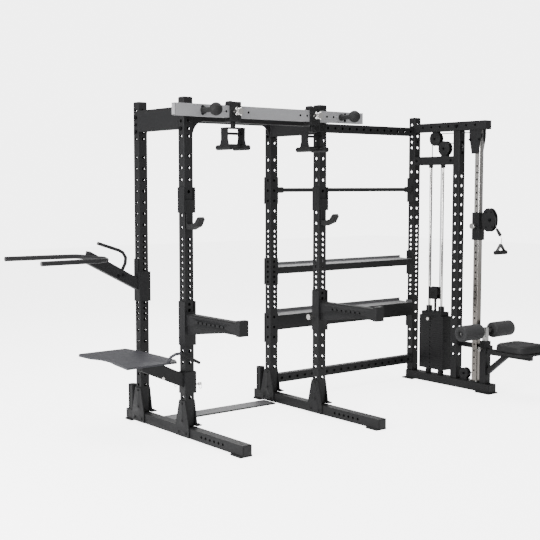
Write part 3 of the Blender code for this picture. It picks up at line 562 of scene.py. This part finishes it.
def sideRow(face, rowLook, depth=0.022, upright=False):
    # holes in a face that looks to the left, along the piece or down it
    radius, first, pitch, count, level = rowLook
    row = bmesh.new()
    for place in [first - pitch * i for i in range(count)]:
        y, z = (level, place) if upright else (place, level)
        addRod(row, (face - 0.01, y, z), (face + depth, y, z), radius, sides=16)
    return row


for side, x in rackSides:
    dressed("base_beam_" + side, "frame", "black_coat", blackCoat, [sideRow(x, drillLook["base"])])
    dressed("side_plate_" + side, "frame", "black_coat", blackCoat)
    dressed("spotter_arm_" + side, "spotter_" + side, "black_coat", blackCoat,
            [sideRow(x - 0.012, drillLook["spotter"], 0.05)],
            [((x - 0.2, -0.66, 0.70), (x - 0.0125, -0.58, 0.79), chrome)])     # pull pin
    dressed("j_hook_" + side, "j_hook_" + side, "black_coat", blackCoat,
            zones=[((x - 0.02, -0.83, 1.40), (x + 0.09, -0.668, 1.56), liner)])       # cradle
# painted highlight: the floor plate's top face takes the paler coat where the overhead light falls
dressed("floor_plate", "frame", "black_coat", blackCoat,
        zones=[((0, -0.16, 0.0115), (1.3, 0.01, 0.013), litTopCoat)])                      # top face
for node in ("crossmember_rear", "crossmember_front", "storage_bar", "crossbar_cable",
             "base_beam_cable"):
    dressed(node, "frame", "black_coat", blackCoat)
beamFace = stationX - 0.004     # the station's beams are a little wider than its uprights
dressed("top_beam_cable", "frame", "black_coat", blackCoat, [sideRow(beamFace, drillLook["top"])])
# painted highlight: the tray decks' top faces take the paler coat where the overhead light falls
for node, top in (("tray_upper", 1.0755), ("tray_lower", 0.6895)):
    dressed(node, "frame", "black_coat", blackCoat,
            zones=[((stationX - 1.6, -0.0655, top), (stationX + 0.1, 0.1, top + 0.02), litTopCoat)])   # deck
beamRow = bmesh.new()
radius, places, gripZ = drillLook["beam"]
for x in places:
    addRod(beamRow, (x, -0.850, gripZ), (x, -0.818, gripZ), radius, sides=16)
# painted shade: the walls inside the drilled holes take the dark bolt material
dressed("pull_up_beam", "frame", "grey_coat", greyCoat, [beamRow], [
    ((-1, -0.8397, 2.2025), (3, -0.8172, 2.2215), boltOxideAndHoleShade),       # inside the drilled holes
    ((-1, -2.0, 2.0), (3, -0.8415, 2.4), nylon),                    # grips in front of the beam
    ((-1, -0.7935, 2.0), (3, 0, 2.4), blackCoat)], 0.002)           # brackets behind it
low, high = span("column")
# painted shade: the walls inside the column's holes take the dark bolt material
dressed("column", "frame", "chrome", columnChrome, [sideRow(low.x, drillLook["column"], upright=True)],
        [((low.x + 0.0004, -0.7803, 0.1), (low.x + 0.0225, -0.7619, 2.0), boltOxideAndHoleShade)],   # inside the holes
        edge=0.003)
print("beams ready")

clampSides = (("left", 0.283), ("right", 0.981))
for side, middle in clampSides:
    dressed("beam_clamp_" + side, "clamp_" + side, "black_coat", blackCoat,
            zones=[((middle - 0.05, -0.95, 2.1), (middle + 0.05, -0.8515, 2.3), chrome)])    # knob
    dressed("handle_yoke_" + side, "yoke_" + side, "black_coat", blackCoat)
dressed("dip_station", "dip", "black_coat", blackCoat, zones=[
    ((-1.0, -0.6, 1.20), (-0.9655, 0.1, 1.26), zincSteel),
    ((-0.34, -0.07, 1.30), (-0.3195, 0.0, 1.35), zincSteel)])       # cut ends of the bars and the lever
dressed("step_arm", "step", "black_coat", blackCoat)
dressed("step_plate", "step", "plate_grey", plateCoat, zones=[
    ((-0.02, -0.75, 0.44), (0.15, -0.6565, 0.60), rubber),          # sleeve on the release lever
    ((0.088, -0.75, 0.44), (0.15, -0.6565, 0.60), zincSteel)])      # its bare end
dressed("seat_frame", "frame", "black_coat", blackCoat, zones=[
    ((centreX - 0.1, -0.90, 0.35), (centreX - 0.0325, -0.83, 0.40), chrome)])    # pull knob
dressed("roller_post", "roller_post", "steel", zincSteel, edge=0.002)
dressed("carriage", "carriage", "black_coat", blackCoat)
dressed("carriage_pin", "carriage_pin", "chrome", chrome)
dressed("swivel_housing", "housing", "black_coat", blackCoat)
dressed("cable_stop", "housing", "rubber", rubber)
dressed("float_block", "lift", "black_coat", blackCoat)
dressed("stack_top_plate", "lift", "stack_paint", stackEnamel)
dressed("selector_pin", "selector_pin", "chrome", chrome)
dressed("stirrup_handle", "handle", "strap", webbing, zones=[
    ((centreX - 0.1, -1.05, 1.155), (centreX + 0.1, -0.95, 1.1962), rubber),         # grip
    ((centreX - 0.01, -1.05, 1.2585), (centreX + 0.01, -0.95, 1.34), chrome)], edge=0.001)   # snap hook
print("attachments ready")

# guide rods: ground chrome bars, finely faceted so that their highlights run straight
for name in ("rear", "front"):
    low, high = span("guide_rod_" + name)
    middle = (low + high) / 2
    bm = bmesh.new()
    addRod(bm, (middle.x, middle.y, low.z), (middle.x, middle.y, high.z), (high.x - low.x) / 2,
           sides=40, soften=0.001)
    settle(asObject(bm, "guide_rod_" + name + "_ground", chrome), "frame", "chrome", "guide_rod_" + name)

# weight stack: cast plates with rounded edges and a shadow gap, a row of selector holes down one side
stackLook = {"bottom": 0.128, "plates": 13, "gap": 0.0004, "edge": 0.0008, "hole": 0.0065, "pinY": -0.2925}
rodPlaces = (-0.234, -0.375)     # the guide rods along y
low, high = span("weight_stack")
low.z = stackLook["bottom"]
bm = bmesh.new()
holes = bmesh.new()
step = (high.z - low.z) / stackLook["plates"]
for index in range(stackLook["plates"]):
    bottom, gap = low.z + step * index, stackLook["gap"]
    pinY, pinZ = stackLook["pinY"], bottom + step / 2
    addBox(bm, (low.x, low.y, bottom + gap / 2), (high.x, high.y, bottom + step - gap / 2), stackLook["edge"])
    addRod(holes, (low.x - 0.01, pinY, pinZ), (low.x + 0.03, pinY, pinZ), stackLook["hole"], sides=16)
plates = asObject(bm, "weight_plates", stackEnamel)
cutAway(plates, [holes])
settle(plates, "frame", "stack_paint", "weight_stack")
bm = bmesh.new()
for y in rodPlaces:
    addRod(bm, (centreX, y, 0.0805), (centreX, y, low.z + 0.0005), 0.024, sides=32, soften=0.003)
    addRod(bm, (centreX, y, 0.095), (centreX, y, 0.110), 0.027, sides=32, soften=0.004)
settle(asObject(bm, "stack_buffers", rubber), "frame", "rubber")
print("weight stack ready")

# pulley wheels: turned nylon with a rope groove, a web with bosses and a zinc bearing
wheelLook = {"groove": 0.006, "hub": 0.017, "bore": 0.0096, "bosses": 6, "boss": 0.0035, "smallHalf": 0.010}
# wheel centres along y and z in the station's middle plane
wheelPlaces = {"top": (-0.293, 2.121), "middle": (-0.397, 2.036), "base": (-0.655, 0.136),
               "swivel": (-0.910, 1.440), "upright": (-0.566, 2.037), "headRear": (-0.722, 2.128),
               "head": (-0.774, 2.128)}


def wheelAt(name):
    return (centreX, *wheelPlaces[name])


def pulleyWheel(name, middle, radius, half, body, slot, *nodes):
    groove, hub, bore = wheelLook["groove"], wheelLook["hub"], wheelLook["bore"]
    # one side's outline from the bore out to the groove, then the same mirrored
    flank = [(half, bore), (half, hub), (half * 0.45, hub + 0.003), (half * 0.45, radius * 0.78),
             (half, radius * 0.84), (half, radius - 0.0015), (half - 0.0015, radius),
             (groove * 0.7, radius - 0.0012), (groove * 0.35, radius - groove * 0.85)]
    profile = [(-along, r) for along, r in flank] + [(0, radius - groove)] + flank[::-1]
    bm = bmesh.new()
    spun(bm, profile, middle, (1, 0, 0), 56)
    made = asObject(bm, name + "_turned", nylon, 30.0)
    settle(made, body, slot, *nodes)
    bm = bmesh.new()
    spun(bm, [(-half - 0.0008, bore - 0.0028), (-half - 0.0008, hub - 0.002), (half + 0.0008, hub - 0.002),
              (half + 0.0008, bore - 0.0028)], middle, (1, 0, 0), 32)
    for step in range(wheelLook["bosses"]):       # raised bosses on the web
        angle = math.tau * step / wheelLook["bosses"]
        reach = (radius * 0.78 + hub) / 2
        spot = (middle[0], middle[1] + reach * math.cos(angle), middle[2] + reach * math.sin(angle))
        for side in (-1, 1):
            inner, outer = ((spot[0] + side * half * part, *spot[1:]) for part in (0.35, 0.62))
            addRod(bm, inner, outer, wheelLook["boss"], sides=12, soften=0.0008)
    settle(asObject(bm, name + "_bearing", zincSteel), body, slot)


for node in ("wheel_top", "wheel_middle", "wheel_base", "wheel_float", "wheel_swivel"):
    low, high = span(node)
    middle = (low + high) / 2
    pulleyWheel(node, tuple(middle), (high.z - low.z) / 2, (high.x - low.x) / 2, node, "pulley_black", node)
for name, place, radius in (
        ("wheel_inside_upright", "upright", 0.036), ("wheel_column_head_rear", "headRear", 0.033),
        ("wheel_column_head", "head", 0.030)):
    pulleyWheel(name, wheelAt(place), radius, wheelLook["smallHalf"], "frame", "pulley_black")
print("pulleys ready")

# steel rope: the runs that lengthen and shorten are shared between the two bodies at their ends,
# and short fixed bends lie in the wheels' grooves
ropeLook = {"radius": 0.0040, "bigTurn": 0.042, "smallTurn": 0.034, "headTurn": 0.030,
            "topLevel": 2.163, "middleLevel": 2.078, "dropY": -0.8036, "returnY": -0.7396}
bigTurn, smallTurn, dropY = ropeLook["bigTurn"], ropeLook["smallTurn"], ropeLook["dropY"]
bends = {
    "rope_over_top_wheel": arc(wheelAt("top"), bigTurn, 180, 90) + [(centreX, -0.362, ropeLook["topLevel"])],
    "rope_over_middle_wheel": arc(wheelAt("middle"), bigTurn, 180, 90)
    + [(centreX, -0.575, ropeLook["middleLevel"])],
    "rope_into_upright": arc(wheelAt("upright"), smallTurn, 180, 0),
    "rope_to_column_head": [(centreX, -0.5865, ropeLook["topLevel"]), (centreX, -0.774, 2.1605)],
    "rope_over_column_head": arc(wheelAt("head"), ropeLook["headTurn"], 90, 0) + [(centreX, dropY, 2.10)],
    "rope_round_base_wheel": [(centreX, ropeLook["returnY"], 0.195), (centreX, -0.737, 0.16)]
    + arc(wheelAt("base"), smallTurn, -35, -180, 24),
    "rope_over_swivel_wheel": [(centreX, dropY, 1.512), (centreX, -0.808, 1.5), (centreX, -0.822, 1.49)]
    + arc(wheelAt("swivel"), bigTurn, 130, -25, 24) + [(centreX, -0.963, 1.372)],
}


def ropePiece(name, points, body, *nodes):
    # a run that is shared between two bodies rides on neither
    made = runPiece(name, points, ropeLook["radius"], rope)
    if body:
        return settle(made, body, "cable", *nodes)
    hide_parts(*nodes)
    return made


for name, points in bends.items():
    ropePiece(name, points, "housing" if "swivel" in name else "frame")
stretches = 30     # lengths that a shared run is divided in
for node, fixed, moving in (("cable_lift_rear", 1, "lift"), ("cable_lift_front", 1, "lift"),
                            ("cable_column", 1, "carriage"), ("cable_return", 0, "carriage")):
    low, high = span(node)
    middle = (low + high) / 2
    points = [(middle.x, middle.y, low.z + (high.z - low.z) * i / stretches) for i in range(stretches + 1)]
    made = ropePiece(node + "_rope", points, None, node)
    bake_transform(made)
low, high = span("cable_high")
points = [(centreX, y, ropeLook["topLevel"]) for y in (high.y, low.y)]
ropePiece("cable_high_rope", points, "frame", "cable_high")
print("ropes ready")

# foam rollers: moulded foam sleeves with softened rims and slight compression, on their steel shaft
rollerLook = {"rim": 0.012, "bore": 0.0135, "dent": 0.0012, "rings": 26, "sides": 72, "bumps": 14.0}
for side in ("left", "right"):
    low, high = span("foam_roller_" + side)
    middle = (low + high) / 2
    radius, half = (high.z - low.z) / 2, (high.x - low.x) / 2
    rim, bore = rollerLook["rim"], rollerLook["bore"]
    profile = [(-half + 0.004, bore), (-half, bore + 0.006), (-half, radius - rim)]
    profile += [(-half + rim * (1 - math.cos(a)), radius - rim * (1 - math.sin(a)))
                for a in (math.radians(15 * i) for i in range(1, 7))]
    profile += [(-half + rim + (2 * half - 2 * rim) * i / rollerLook["rings"], radius)
                for i in range(1, rollerLook["rings"])]
    profile += [(-along, r) for along, r in profile[8::-1]]
    bm = bmesh.new()
    spun(bm, profile, tuple(middle), (1, 0, 0), rollerLook["sides"])
    axis = at(*middle)
    for v in bm.verts:      # the foam is never quite true
        out = Vector((0.0, v.co.y - axis.y, v.co.z - axis.z))
        swell = noise.noise(v.co * rollerLook["bumps"]) - 0.35
        v.co += out.normalized() * rollerLook["dent"] * swell * (out.length / radius)
    roller = asObject(bm, "foam_sleeve_" + side, foam, 50.0)
    settle(roller, "roller_" + side, "foam", "foam_roller_" + side)
    bm = bmesh.new()
    for end in (-1, 1):     # nylon washers that hold the foam on its shaft
        x = middle.x + end * (half + 0.0002)
        spun(bm, [(-0.001, 0.0134), (-0.001, 0.027), (0.002, 0.029), (0.0045, 0.0265), (0.0045, 0.0134)],
             (x, middle.y, middle.z), (end, 0, 0), 40)
    settle(asObject(bm, "roller_washers_" + side, nylon), "roller_" + side, "pulley_black")
print("foam rollers ready")

# seat: foam under vinyl drawn tight over a base board, with a sewn welt round the side
seatLook = {"corner": 0.082, "base": 0.012, "inset": 0.005, "edge": 0.016, "voxel": 0.005, "frames": 20,
            "pressure": 4.0, "cap": 0.007, "boardInset": 0.004, "boardTop": 0.0135, "welt": 0.003,
            "weltAt": 0.016}
low, high = span("seat_pad")


def roundedPad(bm, low, high, corner, edge):
    fresh = bmesh.new()
    addBox(fresh, low, high)
    upright = [e for e in fresh.edges if abs(e.verts[0].co.z - e.verts[1].co.z) > 1e-4]
    bmesh.ops.bevel(fresh, geom=upright, offset=corner, offset_type="OFFSET", affect="EDGES",
                    segments=12, profile=0.5, material=-1)
    flat = [e for e in fresh.edges if e.is_manifold and e.calc_face_angle(0) > 1.2]
    bmesh.ops.bevel(fresh, geom=flat, offset=edge, offset_type="OFFSET", affect="EDGES",
                    segments=5, profile=0.5, material=-1, clamp_overlap=True)
    mergeInto(bm, fresh)


bm = bmesh.new()
inset = Vector((seatLook["inset"], seatLook["inset"], 0.0))
roundedPad(bm, low + inset + Vector((0, 0, seatLook["base"])), high - inset - Vector((0, 0, 0.004)),
           seatLook["corner"], seatLook["edge"])
cushion = asObject(bm, "seat_cushion", vinyl, 60.0)
remesh = cushion.modifiers.new("remesh", "REMESH")
remesh.mode = "VOXEL"
remesh.voxel_size = seatLook["voxel"]
bake(cushion)
rest = [v.co.copy() for v in cushion.data.vertices]
cloth = cushion.modifiers.new("cloth", "CLOTH")
cloth.settings.use_pressure = True
cloth.settings.uniform_pressure_force = seatLook["pressure"]
cloth.settings.effector_weights.gravity = 0.0
cloth.settings.quality = 5
scene.frame_start, scene.frame_end = 1, seatLook["frames"]
for moment in range(1, seatLook["frames"] + 1):
    scene.frame_set(moment)
bake(cushion)
scene.frame_set(1)
for v, start in zip(cushion.data.vertices, rest):
    shift = v.co - start
    if shift.length > seatLook["cap"]:
        shift *= seatLook["cap"] / shift.length
    crown = 1.0 if start.z > high.z - 0.03 else 0.7     # the top swells more than the sides
    v.co = start + shift * crown
    v.co.z = min(v.co.z, high.z + 0.003)
print("seat cushion swelled")
smooth = cushion.modifiers.new("smooth", "SMOOTH")
smooth.factor, smooth.iterations = 0.5, 6
fine = cushion.modifiers.new("fine", "SUBSURF")
fine.levels = fine.render_levels = 1
bake(cushion)
cushion.data.shade_smooth()
settle(cushion, "frame", "leather", "seat_pad")

bm = bmesh.new()
away = seatLook["boardInset"]
roundedPad(bm, low + Vector((away, away, 0.0)),
           Vector((high.x - away, high.y - away, low.z + seatLook["boardTop"])), 0.083, 0.003)
settle(asObject(bm, "seat_base_board", liner), "frame", "leather")
corner = seatLook["corner"]
reach = corner - 0.001
welt = []
for turn, (sx, sy) in enumerate(((1, 1), (-1, 1), (-1, -1), (1, -1))):
    cx = (high.x - corner) if sx > 0 else (low.x + corner)
    cy = (high.y - corner) if sy > 0 else (low.y + corner)
    for i in range(9):
        a = math.radians(90 * turn + 90 * i / 8)
        welt.append((cx + reach * math.cos(a), cy + reach * math.sin(a), low.z + seatLook["weltAt"]))
welt.append(welt[0])
settle(runPiece("seat_welt", welt, seatLook["welt"], vinyl, 12), "frame", "leather")
print("seat ready")

# fastenings: hexagon bolts with washers, ring pins, end caps, inner gusset plates and foot flange
boltLook = {"head": 0.0125, "small": 0.009, "foot": 0.007, "screw": 0.006}
bm = bmesh.new()
for side, x in rackSides:
    outward, direction = (x, (-1, 0, 0)) if side == "left" else (x + tube, (1, 0, 0))
    for y in uprightMiddles:
        for z in (2.202, 2.102):        # side plates
            addHexBolt(bm, (outward, y, z), direction, boltLook["head"])
    for z in (2.152, 2.102):            # rear crossmember
        addHexBolt(bm, (x + tube / 2, 0.0, z), (0, 1, 0), boltLook["head"])
for z in (2.202, 2.102, 0.201, 0.121):  # the rails' ends
    addHexBolt(bm, (stationX + tube, -tube / 2, z), (1, 0, 0), boltLook["head"])
for x in (0.022, 1.272):                # the pull-up beam's brackets
    for z in (2.190, 2.234):
        addHexBolt(bm, (x, -0.840, z), (0, -1, 0), boltLook["small"])
for y in (-tube / 2, stationY + tube / 2):
    addHexBolt(bm, (beamFace, y, 2.2175), (-1, 0, 0), boltLook["head"])
for y in (-0.70, -0.80):                # column head
    addHexBolt(bm, (beamFace, y, 2.10), (-1, 0, 0), boltLook["small"])
for y in (-0.095, -0.49):               # crossbar
    addHexBolt(bm, (stationX, y, 1.933), (-1, 0, 0), boltLook["small"])
settle(asObject(bm, "frame_bolts", boltOxideAndHoleShade), "frame", "steel")

bm = bmesh.new()
for name in ("top", "middle", "base"):
    for side in (-1, 1):
        addHexBolt(bm, (centreX + side * 0.0285, *wheelPlaces[name]), (side, 0, 0), boltLook["small"])
settle(asObject(bm, "pulley_bolts", boltOxideAndHoleShade), "frame", "steel")
bm = bmesh.new()
for side in (-1, 1):
    cheek = centreX + side * 0.0225
    addHexBolt(bm, (cheek, *wheelPlaces["swivel"]), (side, 0, 0), boltLook["head"])
    for y, z in ((-0.872, 1.500), (-0.925, 1.505), (-0.872, 1.380), (-0.935, 1.383)):
        addHexBolt(bm, (cheek, y, z), (side, 0, 0), boltLook["screw"], False)
settle(asObject(bm, "housing_bolts", boltOxideAndHoleShade), "housing", "steel")

gussetLook = {"thick": 0.008, "foot": 0.045, "half": 0.062, "halfTop": 0.030, "low": 0.0805, "high": 0.262,
              "footTop": 0.0883}


def basePlate(bm, x, y):
    # trapezoid plate against the upright's inner face, with a bolted foot
    half, halfTop = gussetLook["half"], gussetLook["halfTop"]
    outline = [(-half, gussetLook["low"]), (half, gussetLook["low"]),
               (halfTop, gussetLook["high"]), (-halfTop, gussetLook["high"])]
    fresh = bmesh.new()
    corners = [fresh.verts.new(at(x, y + across, z)) for across, z in outline]
    face = fresh.faces.new(corners)
    out = bmesh.ops.extrude_face_region(fresh, geom=[face])
    moved = [g for g in out["geom"] if isinstance(g, bmesh.types.BMVert)]
    bmesh.ops.translate(fresh, verts=moved, vec=(gussetLook["thick"], 0, 0))
    bmesh.ops.recalc_face_normals(fresh, faces=fresh.faces)
    bmesh.ops.bevel(fresh, geom=list(fresh.edges), offset=0.0012, offset_type="OFFSET", affect="EDGES",
                    segments=2, profile=0.5, material=-1)
    mergeInto(bm, fresh)
    addBox(bm, (x, y - half, 0.0803), (x + gussetLook["foot"], y + half, gussetLook["footTop"]), 0.0015)


gussets, heads = bmesh.new(), bmesh.new()
for side, x in rackSides:
    for y in uprightMiddles:
        basePlate(gussets, x + tube + 0.0002, y)
        for dy, z in ((0.0, 0.232), (0.0, 0.180), (-0.036, 0.110), (0.036, 0.110)):
            addHexBolt(heads, (x + tube + gussetLook["thick"], y + dy, z), (1, 0, 0), boltLook["small"])
        for dy in (-0.04, 0.04):
            addHexBolt(heads, (x + tube + 0.028, y + dy, gussetLook["footTop"]), (0, 0, 1), boltLook["small"])
settle(asObject(gussets, "inner_gusset_plates", blackCoat), "frame", "black_coat")
settle(asObject(heads, "gusset_bolts", boltOxideAndHoleShade), "frame", "steel")

flange, heads = bmesh.new(), bmesh.new()
addBox(flange, (centreX - 0.047, -0.818, 0.0802), (centreX + 0.047, -0.724, 0.0882), 0.0015)
for dx in (-0.036, 0.036):
    for y in (-0.806, -0.736):
        addHexBolt(heads, (centreX + dx, y, 0.0882), (0, 0, 1), boltLook["foot"])
settle(asObject(flange, "column_foot_flange", blackCoat), "frame", "black_coat")
settle(asObject(heads, "column_foot_bolts", zincSteel), "frame", "steel")

bushes = bmesh.new()
for y in rodPlaces:
    spun(bushes, [(0.0, 0.0107), (0.0, 0.019), (-0.018, 0.019), (-0.024, 0.016), (-0.026, 0.0107)],
         (centreX, y, 1.897), (0, 0, 1), 32)
settle(asObject(bushes, "guide_rod_bushes", rubber), "frame", "rubber")

capLook = {"inset": 0.004, "topInset": 0.0035, "topLow": 2.3095, "topHigh": 2.3130, "edge": 0.0018,
           "topEdge": 0.0015}


def topCap(bm, x, y):
    # moulded plug in an upright's open top
    inset, half = capLook["topInset"], tube / 2 - capLook["topInset"]
    addBox(bm, (x + inset, y - half, capLook["topLow"]), (x + tube - inset, y + half, capLook["topHigh"]),
           capLook["topEdge"])


endCaps = bmesh.new()
for side, x in rackSides:
    for y in (-1.3035, 0.1445):
        addBox(endCaps, (x + capLook["inset"], y, 0.014), (x + tube - capLook["inset"], y + 0.004, 0.076),
               capLook["edge"])
    for y in uprightMiddles:
        topCap(endCaps, x, y)
topCap(endCaps, stationX, -tube / 2)
addBox(endCaps, (centreX - 0.041, -0.9530, 0.014), (centreX + 0.041, -0.9495, 0.076), capLook["edge"])
addBox(endCaps, (centreX - 0.036, -0.8635, 2.185), (centreX + 0.036, -0.8595, 2.250), capLook["edge"])
addBox(endCaps, (centreX - 0.0185, -1.3435, 0.3315), (centreX + 0.0185, -1.3395, 0.3685), capLook["edge"])
settle(asObject(endCaps, "tube_end_caps", nylon), "frame", "pulley_black")
beamCaps = bmesh.new()
for x in (-0.1905, 1.4505):
    addBox(beamCaps, (x, -0.8365, 2.1755), (x + 0.004, -0.7985, 2.2485), capLook["edge"])
settle(asObject(beamCaps, "pull_up_beam_caps", greyCoat), "frame", "grey_coat")


def ringPin(bm, place, direction, ring):
    # a plain pin with a thicker head and a wire ring through it
    place, direction = Vector(place), Vector(direction).normalized()
    addRod(bm, place, place + direction * 0.052, 0.0062, sides=20, soften=0.001)
    addRod(bm, place + direction * 0.030, place + direction * 0.052, 0.011, sides=24, soften=0.002)
    middle = place + direction * 0.047
    down = Vector((0, 0, -1))
    across = direction.cross(down)
    points = []
    for i in range(25):
        a = math.tau * i / 24
        points.append(tuple(middle + down * ring * (1 - math.cos(a)) + across * ring * math.sin(a)))
    spare = tubeAlong(points, 0.0017, 8)
    bm.from_mesh(spare)
    bpy.data.meshes.remove(spare)


pins = bmesh.new()
ringPin(pins, (0.0825, -0.640, 0.366), (1, 0, 0), 0.017)
settle(asObject(pins, "ring_pin_upright", chrome), "frame", "chrome")
pins = bmesh.new()
ringPin(pins, (-0.0105, -0.616, 0.390), (-1, 0, 0), 0.014)
addHexBolt(pins, (-0.177, -0.6510, 0.437), (0, -1, 0), boltLook["small"])
settle(asObject(pins, "step_arm_fastenings", chrome), "step", "chrome")
heads = bmesh.new()
for x, z in ((-0.172, 1.085), (-0.135, 1.090)):
    addHexBolt(heads, (x, -0.0665, z), (0, -1, 0), boltLook["small"])
settle(asObject(heads, "dip_arm_bolts", boltOxideAndHoleShade), "dip", "steel")
grips = bmesh.new()     # rubber balls on the ends of the beam, each on a collar and neck
gripNeck = [(0.0, 0.012), (0.0, 0.024), (0.010, 0.024), (0.014, 0.018), (0.118, 0.0165), (0.118, 0.012)]
for x in (0.029, 1.235):
    spun(grips, gripNeck, (x, -0.8402, gripZ), (0, -1, 0), 36)
    ball = bmesh.ops.create_uvsphere(grips, u_segments=40, v_segments=24, radius=0.0425)
    bmesh.ops.translate(grips, verts=ball["verts"], vec=at(x, -0.982, gripZ))
settle(asObject(grips, "ball_grips", rubber, 40.0), "frame", "rubber")
knobLook = {"arms": 4, "reach": 0.034, "arm": 0.0085, "armY": -0.882, "stem": [
    (0.0, 0.004), (0.0, 0.016), (0.006, 0.014), (0.020, 0.013), (0.026, 0.022), (0.036, 0.023),
    (0.040, 0.018), (0.041, 0.004)]}
latchLook = {"x": -0.045, "z": 2.266, "radius": 0.016, "front": -0.862, "back": -0.812}
for side, middle in clampSides:
    knob = bmesh.new()          # plated star knob that clamps the slider
    spun(knob, knobLook["stem"], (middle, -0.8505, gripZ), (0, -1, 0), 32)
    for step in range(knobLook["arms"]):
        a = math.tau * (step + 0.5) / knobLook["arms"]
        reach = knobLook["reach"]
        addRod(knob, (middle, knobLook["armY"], gripZ),
               (middle + reach * math.cos(a), knobLook["armY"], gripZ + reach * math.sin(a)),
               knobLook["arm"], sides=16, soften=0.003)
    settle(asObject(knob, "clamp_knob_" + side, chrome), "clamp_" + side, "chrome")
    knuckle = bmesh.new()       # hinge knuckle of the clamp's latch, with its bolt
    front = (middle + latchLook["x"], latchLook["front"], latchLook["z"])
    back = (front[0], latchLook["back"], front[2])
    addRod(knuckle, front, back, latchLook["radius"], sides=32, soften=0.003)
    addHexBolt(knuckle, front, (0, -1, 0), boltLook["small"])
    for z in (2.166, 2.262):
        addHexBolt(knuckle, (middle + 0.028, -0.850, z), (0, -1, 0), boltLook["foot"])
    settle(asObject(knuckle, "clamp_latch_" + side, blackCoat), "clamp_" + side, "black_coat")
for side, x in rackSides:
    strip = bmesh.new()        # moulded wear liner on the safety arm
    addBox(strip, (x + 0.008, -1.2275, 0.8523), (x + 0.064, -0.664, 0.8573), 0.0018)
    settle(asObject(strip, "spotter_liner_" + side, liner), "spotter_" + side, "rubber")
print("fastenings ready")

# a CAD node that is still showing is coated steel
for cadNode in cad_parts.values():
    if not cadNode.hide_render:
        cadNode.data.materials.clear()
        cadNode.data.materials.append(blackCoat)
